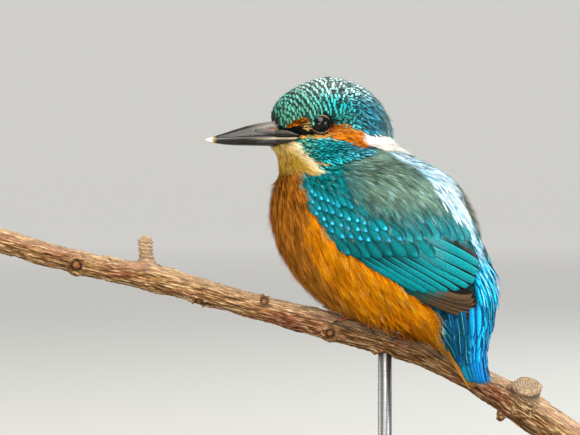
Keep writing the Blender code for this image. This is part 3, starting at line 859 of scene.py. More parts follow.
def crowded(point, cell, gap_squared, taken):
    """Whether a taken point, in this cell or one beside it, is nearer than the gap."""
    x, y, z = point
    for i, j, k in CELLS_ROUND:
        for other_x, other_y, other_z in taken.get((cell[0] + i, cell[1] + j, cell[2] + k), ()):
            if (other_x - x) ** 2 + (other_y - y) ** 2 + (other_z - z) ** 2 < gap_squared:
                return True
    return False


def thinned(points, spacing):
    """Numbers of the points that are left when none is nearer another than its own spacing."""
    spacing = np.broadcast_to(spacing, len(points))
    cells = np.floor(points / spacing.max()).astype(int).tolist()
    gaps_squared = (spacing ** 2).tolist()
    taken, kept = {}, []
    for number, (point, cell, gap) in enumerate(zip(points.tolist(), cells, gaps_squared)):
        if not crowded(point, cell, gap, taken):
            taken.setdefault(tuple(cell), []).append(point)
            kept.append(number)
    return np.array(kept)


def scattered(count, gap, wanted):
    """Those of so many random points for which wanted(points) holds, thinned to that gap."""
    points = candidates(count)
    points = points[wanted(points)]
    return points[thinned(points, gap)]


print("roots are looked for over", len(face_corners), "faces of the skin")

# %% [markdown]
# ## Soft plumage
# The belly, breast, throat, cheeks and back are covered by loose barbs that look like fine hair.
# Each feather here is a tuft: five to eight tapering barbs side by side, fanned a little and each
# rolled its own way so that they catch the light differently. Broad vanes would look like scales.

# %% Materials for feathers
def feather_material(name, roughness, gloss, masks=None, lines=0.35):
    """Keratin barbs: matt, with little gloss. masks are two ramps, across the vane and along it,
    that say where the mark colour shows; lines is how strongly the barbs stand out."""
    made, add, shader = new_material(name, roughness, Specular_IOR_Level=gloss, IOR=1.54)
    vane = add("UVMap", {"uv_map": "Vane"})
    split = add("SeparateXYZ", Vector=vane)
    colour = add("Attribute", {"attribute_name": "tint"})
    if masks:
        over, down = (add("ValToRGB", stops=stops, Fac=split.outputs[axis])
                      for axis, stops in zip("XY", masks))
        both = add("Math", {"operation": "MULTIPLY"}, _0=over, _1=down)
        marked = add("Attribute", {"attribute_name": "mark"})
        colour = add("Mix", COLOUR, Factor=both, A=colour, B=marked)
    place = add("TexCoord").outputs["Object"]
    speckle = add("TexNoise", Vector=place, Scale=2600.0, Detail=2.0)
    darker = add("ValToRGB", stops=((0.30, "#A0A0A0"), (0.62, "#FFFFFF")), Fac=speckle)
    final = add("Mix", DARKEN, Factor=0.6, A=colour, B=darker)
    barbs = add("TexWave", {"bands_direction": "Y"}, Vector=vane, Scale=9.0,
                Distortion=1.2, Detail=1.0)
    rib = add("Bump", Height=barbs, Strength=lines, Distance=0.0001)
    connect(shader, Base_Color=final, Normal=rib)
    return made


down_shader = feather_material("loose_barbs", 0.7, 0.02, lines=0.1)
barred_shader = feather_material("barred_vane", 0.5, 0.06, masks=(
    ((0.0, "#404040"), (0.06, "#FFFFFF"), (0.94, "#FFFFFF"), (1.0, "#404040")),
    ((0.64, "#000000"), (0.70, "#FFFFFF"), (0.84, "#FFFFFF"), (0.90, "#000000"))))
streaked_shader = feather_material("streaked_vane", 0.5, 0.10, masks=(
    ((0.10, "#000000"), (0.36, "#FFFFFF"), (0.64, "#FFFFFF"), (0.90, "#000000")),
    ((0.35, "#000000"), (0.60, "#FFFFFF"), (0.95, "#FFFFFF"), (1.0, "#404040"))))
print("materials for down, barred and streaked feathers")

# %% Sizes of the tufts in each field
# Spacing of roots, length, barbs in a tuft, their spread at root and tip, half width: all in mm.
# Then how much the lie wanders and how much the tone varies, as shares.
TUFTS = {
    "throat": (0.42, 4.4, 6, 0.22, 0.34, 0.062, 0.08, 0.16),
    "ear": (0.52, 4.2, 6, 0.22, 0.32, 0.065, 0.50, 0.45),
    "gape": (0.42, 2.4, 4, 0.12, 0.18, 0.06, 0.10, 0.20),
    "lore": (0.48, 2.0, 4, 0.15, 0.25, 0.08, 0.60, 0.60),
    "buff": (0.45, 1.8, 4, 0.15, 0.22, 0.08, 0.30, 0.30),
    "black": (0.46, 1.6, 4, 0.15, 0.22, 0.08, 0.20, 0.40),
    "white": (0.55, 5.2, 7, 0.28, 0.45, 0.080, 0.30, 0.08),
    "crown": (0.95, 3.0, 4, 0.25, 0.45, 0.055, 0.30, 0.60),
    "nape": (0.58, 4.4, 6, 0.26, 0.45, 0.070, 0.25, 0.60),
    "moustache": (0.70, 3.2, 5, 0.28, 0.42, 0.070, 0.20, 0.55),
    "breast": (0.82, 7.5, 7, 0.42, 0.80, 0.105, 0.22, 0.36),
    "belly": (0.82, 8.0, 7, 0.42, 0.85, 0.108, 0.25, 0.32),
    "undertail": (0.85, 9.0, 7, 0.42, 0.65, 0.105, 0.10, 0.30),
    "shoulder": (0.74, 5.0, 7, 0.36, 0.60, 0.085, 0.15, 0.45),
    "mantle": (0.74, 7.0, 7, 0.36, 0.62, 0.082, 0.10, 0.38),
    "stripe": (0.80, 9.5, 7, 0.38, 0.55, 0.100, 0.08, 0.45),
    "rump": (0.90, 9.0, 7, 0.42, 0.62, 0.120, 0.08, 0.55),
}
# Of each part of the plumage: its fields, and its material slot.
SOFT_PIECES = {
    "belly_plumage": (("belly", "undertail"), "belly_feathers"),
    "breast_plumage": (("breast",), "belly_feathers"),
    "face_plumage": (("throat", "ear", "gape", "lore", "buff", "black"), "crown_feathers"),
    "nape_plumage": (("nape", "white", "moustache"), "crown_feathers"),
    "mantle_plumage": (("mantle", "shoulder"), "wing_feathers"),
    "back_plumage": (("stripe", "rump"), "wing_feathers"),
    "crown_down": (("crown",), "crown_feathers"),
}
print(len(TUFTS), "fields in", len(SOFT_PIECES), "pieces of soft plumage")

# %% Slow changes over the coat
ROOT_LIFT, TIP_LIFT = 0.08, 0.95      # as shares of the coat's depth
RISE = 0.8                            # how soon a feather lifts off the skin
LOCK_STRETCH = 6.0                    # a lock of feathers is this much longer than it is wide
noise_turn = rng.uniform(0, 10, 3)


def lumps_of(values):
    """A random value, mostly between -0.5 and 0.5, which changes slowly from place to place."""
    return np.array([noise.noise(Vector(p)) for p in values.tolist()])


def soft_noise(points, size):
    """A slow random value from 0 to 1 over lumps of that size in mm."""
    return lumps_of(points / size + noise_turn) + 0.5


def locks_of(points, ways, width):
    """A random value from 0 to 1 in locks of that width in mm, drawn out along the lie."""
    away = points - points.mean(axis=0)
    along_way = ways * np.sum(away * ways, axis=1, keepdims=True)
    return soft_noise(away - along_way * (1 - 1 / LOCK_STRETCH), width)


def lift_of(roots, rows):
    """How high each row of a feather stands over the skin, in millimetres."""
    v = np.linspace(0.0, 1.0, rows)
    return coat_depth(roots)[:, None] * (ROOT_LIFT + TIP_LIFT * v[None, :] ** RISE)


# %% Colours and tufts of one field
def field_tints(roots, names):
    """Root and tip colour of each feather, with the slow changes inside each field."""
    base = np.array([ROOT_PAINT[n] for n in names])
    tip = np.array([TIP_PAINT[n] for n in names])
    angle, height = body_place(roots)
    angle = np.abs(angle)
    wash = np.interp(height, *WASH_EDGE)
    brown = (names == "breast") | (names == "belly")
    washed = ease(8.0, -14.0, angle - wash) * brown * ease(64, 72, height)
    base = mix(base, ROOT_PAINT["breast"], washed)
    tip = mix(tip, mix(TIP_PAINT["belly"], TIP_PAINT["breast"], 0.85), washed)
    ahead = head_place(roots)[0]
    rim = ahead - 8.4 - 0.77 * (height - 119.0)     # distance from the moustache
    teal = ease(112, 100, height) + 0.8 * ease(124, 96, angle)
    # The throat's lower front, under the chin, is painted darker and more olive: painted shade.
    under_chin_shade = ease(2.2, 4.6, rim) * ease(127.5, 124, height) * ease(114, 117, height)
    # Near the belly's edge the rump is painted near black: painted shade under the tail.
    dark = ease(32, 8, angle - np.interp(height, *TAIL_EDGE)) * (height < 72)
    # Each change inside a field: how strong it is, and its colours at root and tip.
    for field, share, root_hex, tip_hex in (
            ("mantle", np.clip(teal, 0, 0.96), "#025056", "#048890"),
            ("breast", ease(98, 80, height) * 0.6, "#985410", "#DE9838"),
            ("nape", ease(-13, -19, ahead) * 0.8, "#33505A", "#8FA8A4"),
            ("moustache", ease(2, 10, ahead), "#0A4238", "#149C90"),
            ("stripe", ease(106, 84, height), "#0A86B8", "#48C8EE"),
            ("throat", ease(3.4, 1.0, rim) * 0.9, "#E2C684", "#FFF4D2"),
            ("throat", under_chin_shade * 0.85, "#8E6A10", "#C8981E"),
            ("rump", dark, "#02242C", "#04505E")):
        share = share * (names == field)
        base, tip = mix(base, linear(root_hex), share), mix(tip, linear(tip_hex), share)
    for field, flecks in FLECKS.items():
        chance = rng.random(len(names))
        for share, colour in flecks:
            hit = (names == field) & (chance < share)
            tip = mix(tip, linear(colour), hit * 0.75)
            chance = np.where(chance < share, 1.0, chance - share)
    # The low belly and undertail are painted darker: painted shade under the body.
    painted_low_shade = 1.0 - 0.35 * ease(72, 61, height) * np.isin(names, ("belly", "undertail"))
    return base * painted_low_shade[:, None], tip * painted_low_shade[:, None]


def lay_tufts(roots, names, field):
    """All the tufts of one field, as vanes that are laid but not yet joined."""
    picked = roots[names == field]
    _, length, strands, spread_root, spread_tip, half, wander, contrast = TUFTS[field]
    rows = 5 if length > 5.0 else 4
    count = len(picked)
    lengths = length * rng.uniform(0.78, 1.15, count)
    if field == "white":
        lengths = lengths * (1 + 0.55 * ease(-13, -21, head_place(picked)[0]))
    slow = soft_noise(picked, 5.0)
    turn = rng.normal(0.0, 0.09, count) + (slow - 0.5) * wander
    lines = walk(picked, lengths, rows, turn)
    base, tip = field_tints(picked, np.full(count, field))
    locks = locks_of(picked, lines[2][:, 0], 1.0) - 0.5
    tone = np.exp(contrast * (slow - 0.5 + 2.2 * locks + rng.normal(0.0, 0.4, count)))
    v = np.linspace(0.0, 1.0, rows)
    tint = mix(base[:, None], tip[:, None], (v ** 0.75)[None, :, None]) * tone[:, None, None]
    tint = tint[:, :, None, :]
    lift = lift_of(picked, rows) * (0.85 + 0.3 * slow)[:, None]
    loose = (rng.random(count) < 0.07) & np.isin(field, ("belly", "breast", "stripe", "rump"))
    fuzzy = (rng.random(count) < 0.25) & np.isin(field, ("nape", "crown"))
    lift = lift + (loose * 1.1 + fuzzy * 0.8)[:, None] * v ** 2
    # The far shoulder's feathers stand up behind the pale stripe. They are painted pale grey-brown,
    # partly their own colour and partly painted light, as they face away from the lamps.
    angle, height = body_place(picked)
    far = ease(-176, -167, angle) * ease(-143, -158, angle)
    far = far * ease(95, 102, height) * ease(118, 110, height) * (field == "mantle")
    lift = lift + far[:, None] * 1.6 * v
    tint = mix(tint, linear("#A0947E") * tone[:, None, None, None],
               (far * 0.75)[:, None, None, None])
    if field == "white":              # the neck flash is the fluffiest part of the head
        rear = ease(-13, -21, head_place(picked)[0])
        lift = lift + rear[:, None] * 1.6 * v
    return tuft(lines, strands, spread_root, spread_tip, half, lift, tint, contrast)


spots = candidates(230000)
spot_fields = fields(spots)
# The rear of the tail is left bare for its own long feathers.
use = np.isin(spot_fields, list(TUFTS)) & ~((spot_fields == "rump") & (spots[:, 2] < 60.0))
spots, spot_fields = spots[use], spot_fields[use]
gaps = np.array([TUFTS[name][0] for name in spot_fields])
kept = thinned(spots, gaps)
spots, spot_fields = spots[kept], spot_fields[kept]
print(len(spots), "tufts")

# %% Lay the soft plumage
for name, (wanted, slot) in SOFT_PIECES.items():
    laid = [part for field in wanted for part in lay_tufts(spots, spot_fields, field)]
    coat(name, laid, down_shader, slot)

# %% The loose skirt of the belly
# The longest belly feathers hang free over the sides of the perch and hide most of the feet.
SKIRT_FROM, SKIRT_TO = 59.0, 69.0     # heights of their roots


def in_skirt(points):
    """Whether each point is low on a side of the belly."""
    low = (points[:, 2] > SKIRT_FROM) & (points[:, 2] < SKIRT_TO) & (fields(points) == "belly")
    beside = np.abs(on_skin(points)[1] @ BODY_LEFT) > 0.25
    return low & beside & (points @ BODY_AHEAD > -14.0)


skirt = scattered(60000, 0.85, in_skirt)
_, outward = on_skin(skirt)
count, rows = len(skirt), 6
reach = rng.uniform(5.0, 8.5, count)[:, None, None]
v = np.linspace(0.0, 1.0, rows)[None, :, None]
slow = soft_noise(skirt, 3.0)[:, None, None] - 0.5
way = unit(DOWN * 0.80 - BODY_AHEAD * 0.42 + outward * np.array((0.5, 0.5, 0.0)))[:, None]
bulge = 0.8 * np.sin(math.pi * v) - 1.2 * v ** 2
points = skirt[:, None] + way * reach * v + outward[:, None] * bulge - BODY_AHEAD * slow * 2.0 * v
ways = unit(np.gradient(points, axis=1))
normals = outward[:, None] - ways * np.sum(outward[:, None] * ways, axis=2, keepdims=True)
base, tip = field_tints(skirt, np.full(count, "belly"))
tint = mix(base[:, None], tip[:, None], v ** 0.8)[:, :, None, :] * (1 + slow[..., None] * 0.5)
tufts = tuft([points, unit(normals), ways], 7, 0.5, 0.7, 0.13, np.zeros((count, rows)), tint, 0.4)
coat("belly_skirt", tufts, down_shader, "belly_feathers")

# %% Long plumes of the back and rump
# Narrow separate plumes lie over the soft back, bright along their middles with dark between.
roots = scattered(90000, 1.05, lambda points: np.isin(fields(points), ("stripe", "rump"))
                  & (points[:, 2] > 62.0))
names = fields(roots)
angle, height = body_place(roots)
# Over the rump the plumes are longest, and many hang free with separate tips.
hanging = (np.abs(angle) > 165) & (height > 68) & (height < 90) & (rng.random(len(roots)) < 0.5)
reach = rng.uniform(7.0, 11.0, len(roots)) + 3.5 * hanging
lines = walk(roots, reach, 8, rng.normal(0.0, 0.08, len(roots)))
base, tip = field_tints(roots, names)
tone = rng.lognormal(0.0, 0.35, (2, len(roots), 1))
v = np.linspace(0.0, 1.0, 8)
free = hanging[:, None] * rng.uniform(0.4, 1.8, (len(roots), 1))
lift = lift_of(roots, 8) + 0.15 + free * v ** 2
plumes = lay(lines, 3, rng.uniform(0.36, 0.58, len(roots)), rounded, lift,
             (base * 0.8 * tone[0])[:, None, None], roll=rng.normal(0, 0.25, len(roots)),
             camber=0.25, mark=(tip * tone[1])[:, None, None])
coat("back_plumes", [plumes], streaked_shader, "wing_feathers")

# %% [markdown]
# ## The barred crown
# Crown feathers are tiny scales in rings round the bill, each dark with a pale bar before its
# tip. Every ring has the same number of feathers, so they grow from the forehead back, and each
# ring is shifted half a feather, which is what draws the curved rows across the head.

# %% Rings of crown feathers
HEAD_CORE = head_point(1.0, 0.0, 133.0)
# The rings on each side are drawn round the place where the top of the bill meets the face.
RING_CENTRE = (21.4, 6.0, 131.8)
# Feathers in a whole ring, up to each angle from that place, in degrees.
RING_COUNTS = ((9, 14), (20, 28), (40, 44), (180, 66))


def crown_rings(side):
    """Roots and sizes of scale feathers over one half of the head."""
    pole = unit(head_point(RING_CENTRE[0], RING_CENTRE[1] * side, RING_CENTRE[2]) - HEAD_CORE)
    up = unit(np.array((0.0, 0.0, 1.0)) - pole * pole[2])
    across = np.cross(up, pole)
    roots, sizes = [], []
    spread, ring = math.radians(3.0), 0
    while spread < math.radians(160.0):
        count = next(count for limit, count in RING_COUNTS if spread < math.radians(limit))
        gap = 2 * math.pi / count * math.sin(spread)
        step = gap * float(np.interp(math.degrees(spread), (10, 30, 60), (1.0, 1.25, 1.4)))
        for k in range(count):
            turn = 2 * math.pi * (k + 0.5 * (ring % 2)) / count
            way = (pole * math.cos(spread)
                   + (up * math.cos(turn) + across * math.sin(turn)) * math.sin(spread))
            hit = SKIN.ray_cast(HEAD_CORE.tolist(), way.tolist())[0]
            if hit is not None:
                roots.append(hit)
                sizes.append((hit - Vector(HEAD_CORE)).length * max(gap, 0.045))
        spread += max(step, 0.05)
        ring += 1
    roots, sizes = np.array(roots), np.array(sizes)
    near = head_place(roots)[1] * side > -0.3
    return roots[near], sizes[near]


def crown_colours(points):
    """Ground and bar colour of a crown feather, by its place on the head."""
    ahead, left, height = head_place(points)
    behind = ease(2.0, -10.0, ahead)
    top = ease(141.0, 149.5, height)
    ground = mix("#26382E", "#0C3A38", ease(15, 4, ahead))
    # The top of the head is painted greyer with paler bars: painted sheen from the light above.
    ground = mix(ground, "#66645A", top * (1 - 0.4 * behind) * 0.9)
    ground = mix(ground, "#16363E", behind * (1 - top))
    bar = mix("#62B0A2", "#08B2B6", ease(12, 1, ahead))
    bar = mix(bar, "#2490AE", behind)
    bar = mix(bar, "#6E8E8E", ease(-11.0, -17.0, ahead) * 0.8)
    bar = mix(bar, "#C4E6E6", top * 0.9)
    low = ease(141.0, 137.0, height) * (1 - behind)
    bar = mix(bar, "#3C8E72", low * 0.7)
    return ground, bar


def lay_scales(roots, sizes, width, reach, tone_spread, plain):
    """Scale feathers; the share named plain have hardly any bar."""
    lengths = sizes * reach * rng.uniform(0.90, 1.10, len(roots))
    lines = walk(roots, lengths, 7, rng.normal(0.0, 0.07, len(roots)))
    ground, bar = crown_colours(roots)
    bar = mix(bar, ground, (rng.random(len(roots)) < plain) * 0.7)
    tone = rng.lognormal(0.0, tone_spread, (2, len(roots), 1))
    return lay(lines, 3, sizes * width, blunt, lift_of(roots, 7),
               (ground * tone[0])[:, None, None], roll=rng.normal(0, 0.14, len(roots)),
               camber=0.22, mark=(bar * tone[1])[:, None, None])


halves = [crown_rings(side) for side in (1, -1)]
roots, sizes = (np.concatenate(each) for each in zip(*halves))
# The rings fade out over the top of the head, and scattered feathers take over.
brow = (fields(roots) == "crown") \
    & (head_place(roots)[0] > 4.0 + 9.0 * (soft_noise(roots, 2.5) - 0.5))
roots, sizes = roots[brow], np.clip(sizes[brow], 0.9, 1.8)
scales = lay_scales(roots, sizes, 0.84, 2.7, 0.16, 0.06)
coat("brow_scales", [scales], barred_shader, "crown_feathers")
print(len(roots), "scales in rings")

# %% Scattered feathers over the back of the crown
def on_rear(points):
    """Whether each point is on the rear of the crown or the nape, with ragged edges."""
    ahead = head_place(points)[0]
    front = 5.5 + 9.0 * (soft_noise(points, 2.5) - 0.5)
    end = -17.0 + 3.0 * rng.random(len(points))
    return np.isin(fields(points), ("crown", "nape")) & (ahead < front) & (ahead > end)


roots = scattered(90000, 0.92, on_rear)
sizes = rng.uniform(0.85, 1.35, len(roots))
behind = head_place(roots)[0] < -5.0 + rng.normal(0.0, 3.0, len(roots))
scales = lay_scales(roots[~behind], sizes[~behind], 0.60, 2.7, 0.40, 0.25)
coat("crown_scales", [scales], barred_shader, "crown_feathers")
streaks = lay_scales(roots[behind], sizes[behind], 0.36, 4.0, 0.40, 0.30)
coat("nape_streaks", [streaks], streaked_shader, "crown_feathers")
print(len(roots), "scattered crown feathers")

# %% Moustache feathers
roots = scattered(60000, 0.78, lambda points: fields(points) == "moustache")
tone = rng.lognormal(0.0, 0.35, len(roots))[:, None]
cheek_ahead = head_place(roots)[0]
blue, front = ease(3.0, -7.0, cheek_ahead), ease(7.0, 13.0, cheek_ahead)
ground = mix("#04444C", "#14485C", blue)
ground = mix(ground, "#2A4636", front) * tone
streak = mix("#10A8B0", "#64B8D0", blue)
streak = mix(streak, "#5CA890", front) * tone
lines = walk(roots, rng.uniform(2.6, 3.4, len(roots)), 6, rng.normal(0.0, 0.12, len(roots)))
cheek = lay(lines, 3, 0.48, rounded, lift_of(roots, 6), ground[:, None, None],
            roll=rng.normal(0, 0.2, len(roots)), camber=0.2, mark=streak[:, None, None])
coat("moustache_feathers", [cheek], streaked_shader, "crown_feathers")
print(len(roots), "moustache feathers")

# %% [markdown]
# ## The folded wings
# A folded wing is a stack of rows. The long brown primaries lie lowest, then the teal secondaries
# and tertials, then three rows of coverts like roof tiles, each with a bright tip, and last the
# soft shoulder feathers. Each row is laid from the lowest up, so it covers the roots of the one
# before. Feathers are placed by angle round the trunk and height, and mirrored for the far wing.

# %% Placing feathers on the wing
WING_WAY = unit(-0.72 * BODY_AHEAD + 0.66 * DOWN)


def on_trunk(angles, heights, side):
    """Points of the skin at these angles round the trunk and heights; side is 1 or -1."""
    found = []
    for angle, height in zip(angles, heights):
        core = BODY_AHEAD * np.interp(height, INNER_HEIGHTS, INNER_AHEAD)
        core[2] = height
        turn = math.radians(angle) * side
        way = BODY_AHEAD * math.cos(turn) + BODY_LEFT * math.sin(turn)
        found.append(SKIN.ray_cast((core + way * 60).tolist(), (-way).tolist())[0])
    return np.array(found, float)


def along(line, count, start=0.0, end=1.0):
    """Evenly spaced (angle, height) places on a line of such places."""
    line = np.array(line, float)
    steps = np.linalg.norm(np.diff(line, axis=0) * (0.55, 1.0), axis=1)
    reach = np.concatenate(([0.0], np.cumsum(steps)))
    at = np.linspace(start, end, count) * reach[-1]
    return np.interp(at, reach, line[:, 0]), np.interp(at, reach, line[:, 1])


def uphill(tips, lengths, rows):
    """Lines that end at tips and lie along the wing; they are found from the tips up."""
    def way_at(here, normal):
        return unit(WING_WAY - normal * (normal @ WING_WAY)[:, None])

    return [each[:, ::-1] for each in march(tips, -lengths, rows, way_at)]


def vane_colours(rows, columns, web, edge, root, tone, split, margin, fade=(0.0, 0.45)):
    """Ground colours of a vane: dark root, coloured outer web with a dark rim beyond margin,
    and dark inner web beyond split. tone has a number for each feather."""
    count = len(tone)
    v = np.linspace(0, 1, rows)[None, :, None]
    u = np.linspace(-1, 1, columns)[None, None, :]
    web, edge, root = (np.broadcast_to(c, (count, 3))[:, None, None] for c in (web, edge, root))
    web = web * (0.80 + 0.45 * ease(-1.0, -0.1, u))[..., None]
    dark = np.clip(ease(split - 0.10, split + 0.10, u) + 0.6 * ease(0.95, 1.0, v)
                   + ease(margin, margin + 0.12, -u), 0, 1)
    colour = mix(root, mix(web, edge, dark[..., None]), ease(*fade, v)[..., None])
    return colour * tone[:, None, None, None]


covert_shader = feather_material("covert_vane", 0.5, 0.06, masks=(
    ((0.24, "#000000"), (0.38, "#FFFFFF"), (0.62, "#FFFFFF"), (0.76, "#000000")),
    ((0.74, "#000000"), (0.84, "#FFFFFF"), (0.93, "#FFFFFF"), (0.98, "#000000"))))
flight_shader = feather_material("flight_vane", 0.5, 0.06, lines=0.6, masks=(
    ((0.47, "#000000"), (0.49, "#FFFFFF"), (0.51, "#FFFFFF"), (0.53, "#000000")),
    ((0.02, "#FFFFFF"), (0.9, "#FFFFFF"), (1.0, "#000000"))))
print("materials for coverts and flight feathers")

# %% Primaries, secondaries and tertials
# Of each row, the lines on which its feathers' roots, middles and tips stand. A place is an angle
# round the trunk in degrees and a height.
PRIMARIES = (((100, 85.4), (116, 87.3)), ((137, 72.5), (142, 74.4), (147, 76.5)),
             ((165, 66.6), (168, 69.2), (168, 70.8), (164, 74.7)))
SECONDARIES = (((91, 89.8), (101, 90.2), (120, 90.9), (136, 91.6), (143, 92.3), (145, 93.7),
                (145, 96.1)),
               ((117, 81.9), (123, 81.6), (137, 82.1), (150, 82.8), (156, 83.8), (160, 86.6),
                (162, 90.1)),
               ((133, 76.5), (139, 75.8), (150, 75.9), (161, 76.5), (165, 78.2), (171, 80.8),
                (175, 84.5)))


def flight_row(side, courses, count, half, low, high, colours, shaft, fade):
    """One row of long feathers, the last ones lying over the first."""
    start, middle, end = (on_trunk(*along(course, count), side) for course in courses)
    rows, columns = 18, 17
    lines = stretch(start, middle, end, rows)
    order = np.linspace(0.0, 1.0, count)
    v = np.linspace(0.0, 1.0, rows)[None, :]
    depth = coat_depth(lines[0].reshape(-1, 3)).reshape(count, rows)
    lift = depth * (low + (high - low) * v ** 0.7) + 0.45 * order[:, None]
    tone = rng.lognormal(0.0, 0.07, count)
    # The last feathers are the broadest, and grey where they come out from under the coverts.
    late = ease(0.6, 0.9, order)[:, None]
    web, edge, root = (linear(colour) for colour in colours)
    root = mix(root, "#447C82", late * 0.85)
    tint = vane_colours(rows, columns, web, edge, root, tone, 0.0, 0.86, fade)
    if side > 0:
        tint = tint[:, :, ::-1]
    wide = half * (1 + 0.75 * ease(0.55, 0.85, order))
    return lay(lines, columns, wide, blade, lift, tint, roll=0.10 * side, camber=0.12,
               mark=linear(shaft))


# Of each row, its lines, how many feathers, their half width, their lift at root and tip as a
# share of the coat's depth, the colours of web, rim, root and shaft, and where the root fades.
FLIGHT_ROWS = (
    (PRIMARIES, 6, 1.3, 0.30, 0.66, ("#54402C", "#150D08", "#034A44"), "#2A1C12", (0.30, 0.62)),
    (SECONDARIES, 9, 1.85, 0.50, 0.86, ("#00747A", "#100A07", "#003E44"), "#10B4BC", (0.0, 0.5)))
wing_flight = [flight_row(side, *row) for side in (1, -1) for row in FLIGHT_ROWS]
coat("flight_feathers", wing_flight, flight_shader, "wing_feathers")

# %% Coverts
# Of each row, the places of its feathers' tips, how many, their length and half width, their lift
# at root and tip, and the colours of web and spot. The first row lies over the rear of the wing,
# the second by the innermost wing feathers, and the rest up to the shoulder.
COVERT_ROWS = (
    (((92, 88.6), (103, 87.2), (119, 87.4), (138, 87.2), (147, 86.9)), 8, 11.0, 2.45, 0.62, 0.98,
     "#015A5E", "#04686E"),
    (((134, 92.8), (144, 93.2), (154, 93.2), (164, 92.6), (174, 91.8)), 9, 11.0, 2.5, 0.50, 1.0,
     "#14666C", "#1E767C"),
    (((80, 97.6), (86, 95.5), (93, 94.1), (107, 93.1), (121, 92.9), (133, 92.9)), 9, 8.0, 1.9,
     0.72, 1.04, "#02666C", "#2AA8DC"),
    (((76, 102.0), (82, 99.6), (90, 98.4), (101, 97.0), (114, 96.2), (126, 96.6)), 9, 7.0, 1.8,
     0.76, 1.06, "#026C72", "#34AEE0"),
    (((73, 105.8), (79, 103.6), (90, 102.6), (98, 101.2), (104, 99.4), (114, 98.8)), 8, 6.4, 1.7,
     0.80, 1.10, "#027078", "#38B2E4"),
    (((72, 109.4), (78, 107.4), (86, 106.0), (96, 104.8), (106, 104.0)), 8, 6.0, 1.5, 0.84,
     1.12, "#02747C", "#2CA0D0"),
)
wing_coverts = []
for side in (1, -1):
    for tips, count, length, half, low, high, web, spot in COVERT_ROWS:
        end = on_trunk(*along(tips, count), side)
        end = end + rng.normal(0, 0.28, end.shape)
        rows, columns = 9, 7
        lines = uphill(end, length * rng.uniform(0.94, 1.06, count), rows)
        v = np.linspace(0.0, 1.0, rows)[None, :]
        depth = coat_depth(end)[:, None]
        lift = depth * (low + (high - low) * v) + 0.12 * np.linspace(0, 1, count)[:, None]
        tone = rng.lognormal(0.0, 0.15, count)
        green = linear(web)
        tint = vane_colours(rows, columns, green, green * 0.4, green * 0.5, tone, 0.62, 0.92)
        if side > 0:
            tint = tint[:, :, ::-1]
        bright = linear(spot) * rng.lognormal(0.15, 0.3, (count, 1, 1, 1))
        wing_coverts.append(lay(lines, columns, half, rounded, lift, tint, roll=-0.08 * side,
                                camber=0.16, mark=bright))
coat("covert_feathers", wing_coverts, covert_shader, "wing_feathers")

# %% [markdown]
# ## The tail
# Twelve short feathers lie like a closed fan round the top and sides of the tail, the middle pair
# uppermost. Three tiers of narrow blue coverts lie over their roots, and loose orange feathers
# cover the underside as far as the tip. All are placed on one curved surface: how far along the
# tail, and how far round it.

# %% Places round the tail
TAIL_ROOT = BODY_AHEAD * -31.0 + np.array((0.0, 0.0, 66.0))
TAIL_WAY = unit(BODY_AHEAD * -0.26 + DOWN * 0.965)
TAIL_FACE = unit(np.cross(TAIL_WAY, BODY_LEFT))
TAIL_FACE *= -np.sign(TAIL_FACE @ BODY_AHEAD)


def tail_point(reach, left, face):
    """Points this far along the tail, to its left and out from its upper face."""
    return TAIL_ROOT + TAIL_WAY * reach[..., None] + BODY_LEFT * left[..., None] \
        + TAIL_FACE * face[..., None]


def tail_place(reach, turn, high):
    """Points and normals round the tail; turn is 0 along the top and a quarter at the left."""
    side = np.interp(reach, (0, 6, 15, 24, 27), (10.5, 9.3, 7.2, 5.4, 5.0))
    top = np.interp(reach, (0, 6, 10, 15, 20, 27), (9.2, 7.0, 4.6, 2.5, 1.8, 1.3))
    low = np.interp(reach, (0, 6, 15, 24, 27), (-7.0, -5.0, -4.0, -0.7, -0.4))
    s, c = np.sin(turn), np.cos(turn)
    left = side * np.sign(s) * np.abs(s) ** 0.7
    face = low + (top - low) * np.abs(c) ** 0.7 - 0.16 * left * ease(10, 25, reach)
    normal = unit((s / side)[..., None] * BODY_LEFT + (c / (top - low))[..., None] * TAIL_FACE)
    high = np.broadcast_to(high, reach.shape)[..., None]
    return tail_point(reach, left, face) + normal * high, normal


def tail_row(start, tips, turn_from, turn_to, half, outline, high, columns, colours, roll):
    """Feathers laid along the tail from start to their tips, turning round it as they go."""
    rows = 12
    v = np.linspace(0.0, 1.0, rows)[None, :]
    reach = start[:, None] * (1 - v) + tips[:, None] * v
    turn = turn_from[:, None] * (1 - v) + turn_to[:, None] * v
    points, normals = tail_place(reach, turn, high + 0.25 * v)
    lines = [points, normals, unit(np.gradient(points, axis=1))]
    web, edge, root, mark = colours
    tone = rng.lognormal(0, 0.10, len(start))
    tint = vane_colours(rows, columns, web, linear(edge), linear(root), tone, 0.35, 0.80)
    tint = np.where((turn_to > 0)[:, None, None, None], tint[:, :, ::-1], tint)
    return lay(lines, columns, half, outline, 0.0, tint, roll, camber=0.12, mark=linear(mark))


# %% Tail fan and its coverts
fan = (np.arange(6) + 0.5) / 5.7
fan = np.concatenate((fan, -fan))[np.argsort(np.tile(np.arange(6), 2), kind="stable")]
turn = np.arcsin(fan)
web = mix("#0078BE", "#036C88", ease(0.45, 0.9, fan))
web = mix(web, "#3A76B0", ease(0.5, 1.0, -fan) * 0.5)
tail = tail_row(np.full(12, 5.0), 25.8 - 1.6 * fan ** 2, turn, turn, 1.75, blade,
                (0.15 + 0.55 * (1 - np.abs(fan)))[:, None], 13,
                (web, "#03243A", "#034A6C", "#0A4A70"), 0.05 * np.sign(fan))
